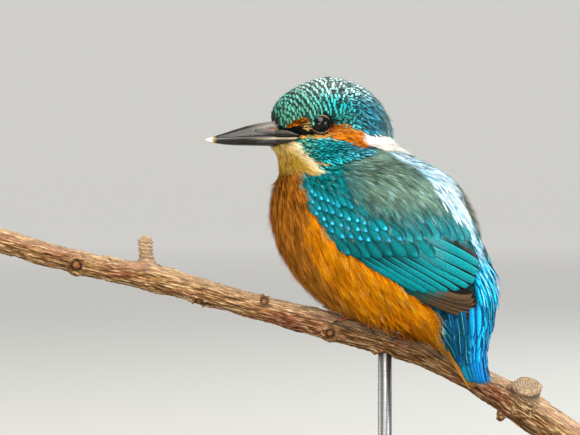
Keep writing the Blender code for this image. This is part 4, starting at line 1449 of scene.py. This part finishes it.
# Of each tier of coverts: its height over the tail, how far along its tips are, how many.
COVERT_TIERS = ((0.8, 19.0, 13), (1.2, 14.5, 13), (1.6, 9.5, 12))
tail_coverts = []
for high, tips_at, count in COVERT_TIERS:
    turn = np.radians(np.linspace(-98, 98, count) + rng.normal(0, 3, count))
    tips = tips_at - 2.0 * (turn / 1.7) ** 2 + rng.normal(0, 1.2, count)
    web = mix("#0290D8", "#04B0EE", rng.random(count))
    # Coverts round the tail's left side and underside are painted near black: painted shade.
    web = mix(web, "#023842", ease(0.4, 1.1, turn)[:, None])
    tail_coverts.append(tail_row(tips - 13.0, tips, turn * 0.9, turn, 1.5, rounded, high, 9,
                                 (web, "#024A78", "#046090", "#48C8F0"),
                                 rng.normal(0, 0.12, count)))
for part in [tail, *tail_coverts]:
    part["root"] = on_skin(part["root"])[0]
coat("tail_coverts", tail_coverts, flight_shader, "tail_feathers")
coat("tail_fan", [tail], flight_shader, "tail_feathers")
print("tail tips from height", tail["place"][:, -1, 6, 2].min().round(1))

# %% Loose feathers under the tail
UNDER_COUNT, UNDER_ROWS = 420, 7
UNDER_END = 26.2                      # no feather reaches further along the tail than this
count, rows = UNDER_COUNT, UNDER_ROWS
start = rng.uniform(-2.0, 18.5, count)
turn = rng.uniform(-1.5, 1.5, count)
v = np.linspace(0.0, 1.0, rows)[None, :]
reach = np.minimum(start[:, None] + rng.uniform(7.0, 10.0, count)[:, None] * v, UNDER_END)
# The wedge they cover: its half width, its middle and its depth, along the tail.
side = np.interp(reach, (0, 12, 20, 26), (9.2, 6.6, 4.4, 2.2))
base = np.interp(reach, (0, 12, 20, 26), (-7.2, -5.0, -4.0, -3.4))
deep = np.interp(reach, (0, 6, 12, 15, 20, 26), (10.5, 7.6, 4.6, 3.5, 2.2, 0.8))
s, c = np.sin(turn)[:, None], np.cos(turn)[:, None]
points = tail_point(reach, side * s, base - deep * c)
normals = unit((s / side)[..., None] * BODY_LEFT - (c / deep)[..., None] * TAIL_FACE)
lines = [points, normals, unit(np.gradient(points + TAIL_WAY * 1e-3 * v[..., None], axis=1))]
tint = mix("#C47A14", "#FFC05A", v[..., None] ** 0.8) \
    * rng.lognormal(0, 0.18, (count, 1, 1))
under = tuft(lines, 6, 0.45, 0.5, 0.10, np.full((count, rows), 0.1), tint[:, :, None, :], 0.35)
for part in under:
    part["root"] = on_skin(part["root"])[0]
coat("undertail_plumage", under, down_shader, "belly_feathers")

# %% [markdown]
# ## The bill
# A kingfisher's bill is a long straight dagger of dark horn, ridged along the top, and ivory where
# it is worn at its tip. Each half is a loft: rings of points across the bill, bridged one to the
# next and closed at both ends. A spun shape would be round, and this one is tall and keeled.

# %% Loft the two halves
# Ahead, top ridge, gape, lower edge, half width.
BILL_SLICES = np.array((
    (18.0, 135.6, 129.7, 125.4, 4.6), (22.5, 134.9, 129.6, 126.2, 4.2),
    (27.0, 134.2, 129.5, 126.3, 3.6), (31.0, 133.3, 129.4, 126.4, 3.1),
    (35.0, 132.1, 129.2, 126.5, 2.6), (39.0, 130.8, 129.0, 126.8, 2.0),
    (42.5, 129.75, 128.8, 127.3, 1.3), (44.8, 128.95, 128.6, 128.0, 0.65),
    (45.9, 128.6, 128.4, 128.3, 0.3)))
BILL_STATIONS, BILL_POINTS = 60, 36   # rings along each half, and points in a ring
NOSTRIL_AHEAD, NOSTRIL_LEVEL = 21.8, 2.6


def loft(rings):
    """Bridges rings of points into one closed bmesh."""
    bm = bmesh.new()
    loops = []
    for ring in rings:
        verts = [bm.verts.new(p) for p in ring]
        loops.append([bm.edges.new((a, b)) for a, b in zip(verts, verts[1:] + verts[:1])])
    for first, second in zip(loops, loops[1:]):
        bmesh.ops.bridge_loops(bm, edges=first + second)
    for end in (loops[0], loops[-1]):
        made = bmesh.ops.contextual_create(bm, geom=end)
        bmesh.ops.poke(bm, faces=made["faces"])
    bmesh.ops.recalc_face_normals(bm, faces=bm.faces)
    return bm


def bill_ring(ahead, upper):
    """One ring across the upper or the lower half of the bill."""
    top, gape, under, half = (np.interp(ahead, BILL_SLICES[:, 0], BILL_SLICES[:, k])
                              for k in (1, 2, 3, 4))
    ring = []
    for k in range(BILL_POINTS):
        turn = 2 * math.pi * k / BILL_POINTS
        c, s = math.cos(turn), math.sin(turn)
        across = math.copysign(abs(c) ** 0.92, c) * half
        if upper:
            rise = max(s, 0.0)
            keel = 0.25 * (1 - abs(c)) ** 3 * rise
            hollow = 1.0 - 0.16 * math.sin(math.pi * rise) ** 2
            high = gape + 0.12 + (top - gape - 0.25) * rise ** 0.95 + keel
            inset = 1.0 if s >= 0 else 1.0 - 0.25 * abs(s)
            pit = math.exp(-((ahead - NOSTRIL_AHEAD) / 1.5) ** 2
                           - ((high - gape - NOSTRIL_LEVEL) / 0.42) ** 2)
            across = across * hollow * inset - math.copysign(0.9 * pit, across)
        else:
            fall = max(-s, 0.0)
            high = gape - 0.12 - (gape - under - 0.12) * fall ** 1.05
            groove = math.exp(-((fall - 0.45) / 0.12) ** 2) * 0.18
            across = across * (0.97 if s <= 0 else 0.97 - 0.2 * s) - math.copysign(groove, across)
        ring.append(head_point(ahead, across, high))
    return ring


# Where the horn runs back along the gape, over the cheek: ahead, its lowest and highest edge.
GAPE_UPPER = ((13.2, 130.15, 130.45), (15.0, 130.05, 131.1), (17.0, 129.95, 131.8),
              (19.0, 129.85, 132.4), (24.0, 129.7, 132.5), (28.0, 129.6, 132.3))
GAPE_LOWER = ((14.0, 129.1, 129.5), (15.2, 128.3, 129.7), (17.0, 127.5, 129.7),
              (19.0, 126.9, 129.6), (24.0, 126.7, 129.4), (28.0, 126.8, 129.3))
STRIP_RINGS, STRIP_POINTS = 18, 14


def gape_strip(slices, side):
    """Rings of a flat strip of horn that lies on the cheek."""
    slices, rings = np.array(slices), []
    for ahead in np.linspace(slices[0, 0], slices[-1, 0], STRIP_RINGS):
        low, high = (np.interp(ahead, slices[:, 0], slices[:, k]) for k in (1, 2))
        middle, half = (low + high) / 2, (high - low) / 2
        origin = head_point(min(ahead, 18.2), 0.0, middle)
        hit = SKIN.ray_cast((origin + HEAD_LEFT * side * 30).tolist(),
                            (-HEAD_LEFT * side).tolist())[0]
        out = (np.array(hit) - origin) @ HEAD_LEFT * side + 0.75
        if ahead > 18.0:              # it sinks into the side of the bill
            out = np.interp(ahead, (18.0, 20.5, 24.0, 28.0), (out, 4.05, 3.3, 2.2))
        turns = [2 * math.pi * k / STRIP_POINTS for k in range(STRIP_POINTS)]
        rings.append([head_point(ahead + 0.35 * math.cos(t), side * (out + 0.5 * math.cos(t)),
                                 middle + half * math.sin(t)) for t in turns])
    return rings


# %% Horn of the bill
# Horn: keratin, smooth from wear, near black, with growth lines along it and pale worn ends.
horn_shader, add, shader = new_material("bill_horn", 0.4, IOR=1.54, Specular_IOR_Level=0.28,
                                         Coat_Weight=0.1, Coat_Roughness=0.3)
grain = add("Attribute", {"attribute_name": "along"}).outputs["Vector"]
long_grain = add("Mapping", Vector=grain, Scale=(0.09, 1.6, 1.6))
growth = add("TexNoise", Vector=long_grain, Scale=1.6, Detail=5.0, Roughness=0.6)
split = add("SeparateXYZ", Vector=grain)
ahead, level = split.outputs["X"], split.outputs["Z"]
dark = add("ValToRGB", stops=((0.34, "#0A0805"), (0.54, "#15130C"), (0.74, "#3C382E")), Fac=growth)
# Near the face, from the lower edge up: brown, a pale line along the gape, a black line of painted
# shadow in the gape's crease, and grey that pales upwards, partly the horn's own pale base and
# partly a painted highlight from above.
across = add("MapRange", Value=level, From_Min=-4.0, From_Max=6.0)
bands = add("ValToRGB", stops=(
    (0.0, "#1E1206"), (0.29, "#1E1308"), (0.33, "#A89880"), (0.375, "#A89880"), (0.395, "#0A0806"),
    (0.50, "#16150E"), (0.62, "#58524A"), (0.80, "#8E857C"), (1.0, "#8A8078")), Fac=across)
near = add("MapRange", Value=ahead, From_Min=31.0, From_Max=20.0, To_Max=0.85)
base = add("Mix", COLOUR, Factor=near, A=dark, B=bands)
# The last few millimetres are worn through brown to ivory.
far = add("MapRange", Value=ahead, From_Min=41.0, From_Max=45.0)
tip = add("ValToRGB", stops=((0.2, "#17140C"), (0.45, "#8A6C26"), (0.75, "#EEE6D4")), Fac=far)
ivory = add("MapRange", Value=far, From_Max=0.3)
worn = add("Mix", COLOUR, Factor=ivory, A=base, B=tip)
# The nostril: a red-brown slit just ahead of the feathers.
slit_along = add("Math", {"operation": "COMPARE"}, _0=ahead, _1=20.6, _2=2.2)
slit_up = add("Math", {"operation": "COMPARE"}, _0=level, _1=2.9, _2=0.26)
nostril = add("Math", {"operation": "MULTIPLY"}, _0=slit_along, _1=slit_up)
worn = add("Mix", COLOUR, Factor=nostril, A=worn, B="#8A4416")
scratch = add("Bump", Height=growth, Strength=0.35, Distance=0.0003)
gloss = add("MapRange", Value=growth, To_Min=0.26, To_Max=0.5)
connect(shader, Base_Color=worn, Normal=scratch, Roughness=gloss)


# %% Make both halves of the bill
def add_vector(piece, name, values):
    """Keeps three numbers at each point of a piece, for its material to read by name."""
    layer = piece.data.attributes.new(name=name, type="FLOAT_VECTOR", domain="POINT")
    layer.data.foreach_set("vector", np.asarray(values, np.float32).ravel())


stations = np.linspace(BILL_SLICES[0, 0], BILL_SLICES[-1, 0], BILL_STATIONS)
for name, upper, gape_slices in (("bill_upper", True, GAPE_UPPER),
                                 ("bill_lower", False, GAPE_LOWER)):
    bm = loft([bill_ring(float(ahead), upper) for ahead in stations])
    for side in (1, -1):
        bm.from_mesh(mesh_of(loft(gape_strip(gape_slices, side)), "strip"))
    here = coordinates(bm)
    half = keep(bm, name + "_horn", "bill_horn", horn_shader)
    ahead, left, height = head_place(here)
    gape = np.interp(ahead, BILL_SLICES[:, 0], BILL_SLICES[:, 2])
    add_vector(half, "along", np.stack((ahead, left, height - gape), axis=1))
    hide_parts(name)
    print(name, len(half.data.polygons), "faces")

# %% [markdown]
# ## Eyes
# A bird's eye is nearly all pupil: a black disc in a dark brown iris under a clear wet cornea.
# The ball is a sphere with the cornea's slight bulge pushed out of it, and the lid is a thin
# beaded ring of bare skin, made by spinning its small section round the eye's axis.

# %% Eyeballs and lids
# Wet cornea over a dark iris: very smooth, with one strong highlight.
eye_shader, add, shader = new_material("wet_dark_eye", 0.04, IOR=1.36, Specular_IOR_Level=0.35)
from_middle = add("Attribute", {"attribute_name": "eye_place"}).outputs["Vector"]
spread = add("SeparateXYZ", Vector=from_middle)
rays = add("TexNoise", Vector=from_middle, Scale=3.0, Detail=3.0)
wobble = add("Math", {"operation": "MULTIPLY_ADD"}, _0=rays, _1=0.35, _2=spread.outputs["X"])
iris = add("ValToRGB", stops=((0.42, "#030302"), (0.52, "#0B0805"), (0.70, "#120C07"),
                              (0.92, "#050403")), Fac=wobble)
connect(shader, Base_Color=iris)

# Lid: bare skin, dark brown with pale buff beads along its rim.
lid_shader, add, shader = new_material("bare_lid_skin", 0.5, Specular_IOR_Level=0.4)
place = add("TexCoord").outputs["Object"]
beads = add("TexVoronoi", Vector=place, Scale=2600.0)
buffs = add("ValToRGB", stops=((0.1, "#B49C78"), (0.5, "#6A5238"), (0.9, "#1E150F")), Fac=beads)
bumps = add("Bump", Height=beads, Strength=0.6, Distance=0.0002)
connect(shader, Base_Color=buffs, Normal=bumps)

EYE_RADIUS = 4.6
CORNEA_RISE, CORNEA_RADIUS = 0.28, 2.2
LID_WIDER, LID_LOWER = 1.08, 0.88     # the opening is wider than it is high
# The lid's section: radius and height over the middle of the ball.
LID_SECTION = ((3.30, 3.26), (3.32, 3.42), (3.40, 3.50), (3.54, 3.42), (3.74, 3.05), (4.4, 2.1),
               (5.1, 1.2))
for side, sign in (("left", 1.0), ("right", -1.0)):
    axis = Vector(unit(HEAD_LEFT * sign + HEAD_AHEAD * 0.06))
    turn = axis.to_track_quat("Z", "Y").to_matrix()
    bm = bmesh.new()
    bmesh.ops.create_uvsphere(bm, u_segments=64, v_segments=40, radius=EYE_RADIUS)
    out = []
    for vert in bm.verts:
        away = math.hypot(vert.co.x, vert.co.y)
        if vert.co.z > 0:
            vert.co.z += CORNEA_RISE * math.exp(-(away / CORNEA_RADIUS) ** 2)
        out.append((away / EYE_RADIUS if vert.co.z > 0 else 1.0, vert.co.x, vert.co.y))
    bmesh.ops.rotate(bm, verts=bm.verts, cent=(0, 0, 0), matrix=turn)
    bmesh.ops.translate(bm, verts=bm.verts, vec=EYES[side])
    ball = keep(bm, "eye_ball_" + side, "eye", eye_shader)
    add_vector(ball, "eye_place", out)
    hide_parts("eye_" + side)

    bm = spun(LID_SECTION, 72)
    for vert in bm.verts:             # it stays on the ball as it is made wider than it is high
        reach = vert.co.length
        vert.co.x *= LID_WIDER
        vert.co.y *= LID_LOWER
        flat_way = vert.co.x ** 2 + vert.co.y ** 2
        vert.co.z = math.sqrt(max(reach ** 2 - flat_way, 0.04))
    bmesh.ops.recalc_face_normals(bm, faces=bm.faces)
    bmesh.ops.rotate(bm, verts=bm.verts, cent=(0, 0, 0), matrix=turn)
    bmesh.ops.translate(bm, verts=bm.verts, vec=EYES[side])
    keep(bm, "eyelid_" + side, "leg_skin", lid_shader)
print("eyes at", EYES["left"].round(1), EYES["right"].round(1))

# %% [markdown]
# ## Claws
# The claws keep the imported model's solids and get their own horn.

# %% Claw horn
# Horn of claws: keratin polished on bark, near black, a little browner between growth lines.
claw_shader, add, shader = new_material("claw_horn", 0.3, IOR=1.54, Coat_Weight=0.3,
                                         Coat_Roughness=0.2)
place = add("TexCoord").outputs["Object"]
growth = add("TexNoise", Vector=place, Scale=1500.0, Detail=3.0)
horn = add("ValToRGB", stops=((0.3, "#120D0A"), (0.7, "#3A2A1E")), Fac=growth)
connect(shader, Base_Color=horn)
claws = [solid for name, solid in NODES.items() if name.startswith("claw_")]
for claw in claws:
    claw.material_slots[0].material = claw_shader
print(len(claws), "claws")

# %% [markdown]
# ## The branch
# A dead twig with most of its bark worn to fibre: pale on top with a painted highlight, red-brown
# in patches, dark in the cracks, with a sawn stub at one end and a snapped one at the other. The
# imported branch is fused and smoothed, then real ridges are raised along it. A straightened copy
# of each point's place is kept, so that the grain in the material runs along the branch however it
# bends.

# %% Straighten the branch's coordinates
BRANCH_COURSE = np.array((
    (-141.5, 2.0, 93.0), (-120.0, 1.5, 86.8), (-100.0, 0.8, 82.0), (-84.0, 0.3, 79.0),
    (-55.0, 0.0, 70.8), (-37.0, 0.0, 66.0), (-23.0, 0.0, 62.3), (-5.0, 0.0, 57.0),
    (14.0, 0.0, 51.2), (27.0, 0.3, 45.0), (41.5, 1.0, 37.3), (54.0, 2.0, 29.3),
    (73.0, 3.5, 17.0)))
SAWN_TIP = np.array((51.2, -5.0, 41.2))
SAWN_AXIS = unit(np.array((1.2, -5.5, 10.2)))
TWIG_MIDDLE, TWIG_RADIUS, TWIG_FROM = -86.4, 3.6, 84.6    # the snapped twig, and where it starts
BRANCH_VOXEL, BRANCH_ROUNDS = 0.42, 7


def straightened(points):
    """How far along the branch, towards its back and up across it each point is."""
    fine_x = np.linspace(BRANCH_COURSE[0, 0], BRANCH_COURSE[-1, 0], 300)
    course = np.stack([np.interp(fine_x, BRANCH_COURSE[:, 0], BRANCH_COURSE[:, k])
                       for k in range(3)], axis=1)
    reach = np.concatenate(([0.0], np.cumsum(np.linalg.norm(np.diff(course, axis=0), axis=1))))
    ways = unit(np.gradient(course, axis=0))
    nearest = np.array([np.argmin(np.sum((course - p) ** 2, axis=1)) for p in points])
    away = points - course[nearest]
    way = ways[nearest]
    along_it = reach[nearest] + np.sum(away * way, axis=1)
    up = unit(np.stack([-way[:, 2], np.zeros(len(way)), way[:, 0]], axis=1))
    return np.stack([along_it, away[:, 1], np.sum(away * up, axis=1)], axis=1)


branch_bm = remeshed(solid_copy(("perch_branch",)), BRANCH_VOXEL, BRANCH_ROUNDS)
branch_points = coordinates(branch_bm)
straight = straightened(branch_points)
print("branch of", len(branch_bm.faces), "quads,", (np.ptp(straight[:, 0])).round(), "mm long")


# %% Ridges, scars and the sawn lip
def ridges(values, octaves):
    return np.array([noise.ridged_multi_fractal(Vector(p), 0.9, 2.1, octaves, 1.0, 2.0)
                     for p in values.tolist()])


def hump(away, width):
    """1 where away is 0, falling off to both sides over that width."""
    return np.exp(-(away / width) ** 2)


fibre = ridges(straight * (0.12, 0.75, 0.75), 4)
flakes = ridges((straight + 17.0) * (0.42, 0.60, 0.60), 3)
swell = lumps_of(straight * (0.13, 0.25, 0.25))
crack = np.clip(lumps_of((straight + 40.0) * (0.10, 0.55, 0.55)) - 0.30, 0, 1)
depth = 0.32 * (fibre - 1.25) + 0.20 * (flakes - 1.1) + 0.5 * swell - 2.4 * crack
along_stub = (branch_points - SAWN_TIP) @ SAWN_AXIS
from_stub = np.linalg.norm(branch_points - SAWN_TIP, axis=1)
on_face = (along_stub > -0.7) & (from_stub < 7.0)
depth = np.clip(depth, -1.2, 0.42) * np.where(on_face, 0.15, 1.0)
# Old side shoots left round scars with a raised rim: place along and up, and radius.
SCARS = ((-111.0, 83.4, 2.9), (-67.0, 70.2, 2.0), (-43.4, 70.8, 1.9), (-19.8, 59.0, 2.4),
         (-2.0, 50.4, 2.2))
scar = np.zeros((len(branch_points), 3))       # how dark, and how brown, each point is
front = branch_points[:, 1] < 0.0
for x, z, radius in SCARS:
    away = np.hypot(branch_points[:, 0] - x, branch_points[:, 2] - z)
    depth += front * (0.75 * hump(away - radius, 0.6) - 0.6 * hump(away - 0.6 * radius, 0.5))
    scar[:, 0] += front * hump(away - 0.62 * radius, 0.5)
    scar[:, 1] += front * hump(away, 0.6 * radius)
# The bark ends in a thick lip round the sawn face; the snapped twig is ringed by old bud scars.
lip = (from_stub < 8.0) & (along_stub < -0.4)
depth += lip * (0.5 * hump(along_stub + 1.6, 0.7) - 0.4 * hump(along_stub + 3.0, 0.5))
scar[:, 0] += lip * 0.6 * hump(along_stub + 3.2, 0.8)
twig = (np.abs(branch_points[:, 0] - TWIG_MIDDLE) < TWIG_RADIUS) & (branch_points[:, 2] > TWIG_FROM)
depth += twig * 0.28 * np.sin(branch_points[:, 2] * 4.6 + 0.6 * branch_points[:, 0])
for vert, rise in zip(branch_bm.verts, depth):
    vert.co += vert.normal * float(rise)
print("ridges from", depth.min().round(2), "to", depth.max().round(2), "mm")

# %% Bark
# Weathered bark and fibre: quite rough, pale on top with a painted highlight, red where bark
# clings.
bark_shader, add, shader = new_material("weathered_bark", 0.8, Specular_IOR_Level=0.25)
grain = add("Attribute", {"attribute_name": "straight"}).outputs["Vector"]
FIBRE = (0.10, 1.0, 1.0)              # fibres run about ten times as long as they are wide
long_grain = add("Mapping", Vector=grain, Scale=FIBRE)
fibres = add("TexNoise", Vector=long_grain, Scale=1.7, Detail=8.0, Roughness=0.68)
cracks = add("TexNoise", Vector=long_grain, Scale=2.6, Detail=4.0, Roughness=0.7)
patch_grain = add("Mapping", Vector=grain, Scale=(0.35, 1.0, 1.0))
patches = add("TexNoise", Vector=patch_grain, Scale=0.16, Detail=4.0, Roughness=0.6)
body = add("ValToRGB", stops=((0.37, "#1E1208"), (0.46, "#75502A"), (0.54, "#B4854C"),
                              (0.63, "#F2DAAE")), Fac=fibres)
red = add("ValToRGB", stops=((0.36, "#2A0F07"), (0.50, "#8A3A20"), (0.66, "#D69A7C")), Fac=fibres)
where_red = add("ValToRGB", stops=((0.50, "#000000"), (0.62, "#C8C8C8")), Fac=patches)
mottled = add("Mix", COLOUR, Factor=where_red, A=body, B=red)
upper = add("SeparateXYZ", Vector=grain)
# The upper side is painted paler: a painted highlight where the light from above falls.
top_highlight = add("MapRange", Value=upper.outputs["Z"], From_Min=0.5, From_Max=5.0, To_Max=0.42)
bark_with_top_highlight = add("Mix", COLOUR, Factor=top_highlight, A=mottled, B="#EACBA8")
gaps = add("ValToRGB", stops=((0.36, "#1A120A"), (0.44, "#FFFFFF")), Fac=cracks)
torn = add("Mix", DARKEN, Factor=0.9, A=bark_with_top_highlight, B=gaps)
scars = add("Attribute", {"attribute_name": "scar"}).outputs["Vector"]
marks = add("SeparateXYZ", Vector=scars)
healed = add("Mix", COLOUR, Factor=marks.outputs["Y"], A=torn, B="#B0703A")
healed = add("Mix", COLOUR, Factor=marks.outputs["X"], A=healed, B="#24150A")
heights = add("Math", {"operation": "ADD"}, _0=fibres, _1=cracks)
relief = add("Bump", Height=heights, Strength=1.0, Distance=0.0012)
connect(shader, Base_Color=healed, Normal=relief)
print("bark with fibres", 1 / FIBRE[0], "times as long as they are wide")

# %% Sawn wood, and the finished branch
# Sawn end grain: yearly rings half a millimetre apart round the pith, with saw marks over them.
sawn_shader, add, shader = new_material("sawn_end_grain", 0.75, Specular_IOR_Level=0.25)
place = add("TexCoord").outputs["Object"]
to_face = Vector(SAWN_AXIS).to_track_quat("Z", "Y").to_matrix().inverted().to_euler()
centred = add("VectorMath", {"operation": "SUBTRACT"}, _0=place, _1=tuple(SAWN_TIP * MM))
turned = add("Mapping", Vector=centred, Rotation=to_face)
years = add("TexWave", {"wave_type": "RINGS", "rings_direction": "Z"},
            Vector=turned, Scale=330.0, Distortion=2.5, Detail=3.0, Detail_Scale=1.2)
wood = add("ValToRGB", stops=((0.1, "#6E5840"), (0.6, "#96805F"), (0.95, "#A8927A")), Fac=years)
saw_lines = add("Mapping", Vector=place, Scale=(1.0, 0.15, 1.0))
saw = add("TexNoise", Vector=saw_lines, Scale=1500.0, Detail=3.0)
scored = add("ValToRGB", stops=((0.35, "#6B5545"), (0.6, "#FFFFFF")), Fac=saw)
marked = add("Mix", DARKEN, Factor=0.5, A=wood, B=scored)
cut = add("Bump", Height=years, Strength=0.4, Distance=0.0003)
connect(shader, Base_Color=marked, Normal=cut)

branch_bm.normal_update()
sawn_faces = [face for face in branch_bm.faces
              if np.linalg.norm(face.calc_center_median() - Vector(SAWN_TIP)) < 5.6
              and face.normal.dot(Vector(SAWN_AXIS)) > 0.75]
for face in sawn_faces:
    face.material_index = 1
print(len(sawn_faces), "faces of sawn wood")
branch = keep(branch_bm, "branch_wood", "bark", bark_shader, sawn_shader)
add_vector(branch, "straight", straight)
add_vector(branch, "scar", np.clip(scar, 0.0, 0.85))
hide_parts("perch_branch")

# %% [markdown]
# ## The stand
# A round-cornered block of dark waxed walnut and a brushed steel rod with a collar, as museums
# use. The base starts as a cube; its upright corners are bevelled wide and its top edge is
# bevelled small. The rod and collar are one section spun round.

# %% Base
CORNER_ROUND, EDGE_ROUND = 18.0, 1.6
base_low, base_high = box_of("stand_base")
bm = bmesh.new()
bmesh.ops.create_cube(bm, size=1.0)
bmesh.ops.scale(bm, vec=base_high - base_low, verts=bm.verts)
bmesh.ops.translate(bm, vec=(base_low + base_high) / 2, verts=bm.verts)
upright = [e for e in bm.edges if abs(e.verts[0].co.z - e.verts[1].co.z) > 1]
bmesh.ops.bevel(bm, geom=upright, offset=CORNER_ROUND, offset_type="OFFSET", segments=24,
                profile=0.5, affect="EDGES", material=-1)
rims = [e for e in bm.edges if abs(e.verts[0].co.z - e.verts[1].co.z) < 0.01
        and len(e.link_faces) == 2 and e.calc_face_angle(0.0) > 1.0
        and e.verts[0].co.z > base_high[2] - 0.1]
bmesh.ops.bevel(bm, geom=rims, offset=EDGE_ROUND, offset_type="OFFSET", segments=6, profile=0.5,
                affect="EDGES", material=-1)
# Walnut, planed and waxed: dark brown, open grain along its length, a low soft gloss.
walnut_shader, add, shader = new_material("waxed_walnut", 0.4, Coat_Weight=0.2,
                                          Coat_Roughness=0.35)
place = add("TexCoord").outputs["Object"]
plank = add("Mapping", Vector=place, Scale=(8.0, 130.0, 130.0))
rings = add("TexNoise", Vector=plank, Scale=1.0, Detail=4.0, Distortion=0.6)
pore_lines = add("Mapping", Vector=place, Scale=(60.0, 1600.0, 1600.0))
pores = add("TexNoise", Vector=pore_lines, Scale=1.0, Detail=2.0)
tone = add("ValToRGB", stops=((0.3, "#2B170C"), (0.5, "#4A2B18"), (0.7, "#6A4228")), Fac=rings)
dark_pores = add("ValToRGB", stops=((0.36, "#4A3A30"), (0.46, "#FFFFFF")), Fac=pores)
open_grain = add("Mix", DARKEN, Factor=0.7, A=tone, B=dark_pores)
dents = add("Bump", Height=pores, Strength=0.25, Distance=0.0002)
connect(shader, Base_Color=open_grain, Normal=dents)
base = keep(bm, "stand_base_wood", "stand_wood", walnut_shader)
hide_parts("stand_base")
print("base from", base_low.round(1), "to", base_high.round(1))

# %% Rod and collar
# Mild steel, brushed round and lacquered: grey metal with fine rings and a broad soft shine.
steel_shader, add, shader = new_material("brushed_steel", 0.32, Metallic=1.0)
place = add("TexCoord").outputs["Object"]
brush_lines = add("Mapping", Vector=place, Scale=(60.0, 60.0, 4200.0))
brushed = add("TexNoise", Vector=brush_lines, Scale=1.0, Detail=4.0)
greys = add("ValToRGB", stops=((0.3, "#6F7071"), (0.7, "#9B9C9D")), Fac=brushed)
turning = add("Bump", Height=brushed, Strength=0.15, Distance=0.0001)
connect(shader, Base_Color=greys, Normal=turning)

rod_low, rod_high = box_of("stand_rod")
foot = base_high[2]
ROD_RADIUS = 2.5
# The collar's section: radius, and height over the base.
COLLAR = ((6.5, 0.02), (6.5, 1.9), (6.3, 2.4), (5.8, 2.6), (3.5, 2.6), (2.8, 2.9), (2.5, 3.6))
section = [(0.0, rod_low[2]), (ROD_RADIUS, rod_low[2]),
           *[(radius, foot + high) for radius, high in COLLAR], (ROD_RADIUS, rod_high[2] - 0.5),
           (ROD_RADIUS - 0.5, rod_high[2]), (0.0, rod_high[2])]
bm = spun(section, 48)
bmesh.ops.recalc_face_normals(bm, faces=bm.faces)
rod_middle = (rod_low + rod_high) / 2
bmesh.ops.translate(bm, verts=bm.verts, vec=(rod_middle[0], rod_middle[1], 0.0))
rod = keep(bm, "stand_rod_steel", "stand_metal", steel_shader)
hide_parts("stand_rod")
print("rod from", rod_low.round(1), "to", rod_high.round(1))

# %% Finish
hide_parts(*FLESH, *FEET)
print("coat of", sum(coat_triangles.values()), "triangles; the largest piece has",
      max(coat_triangles.values()))
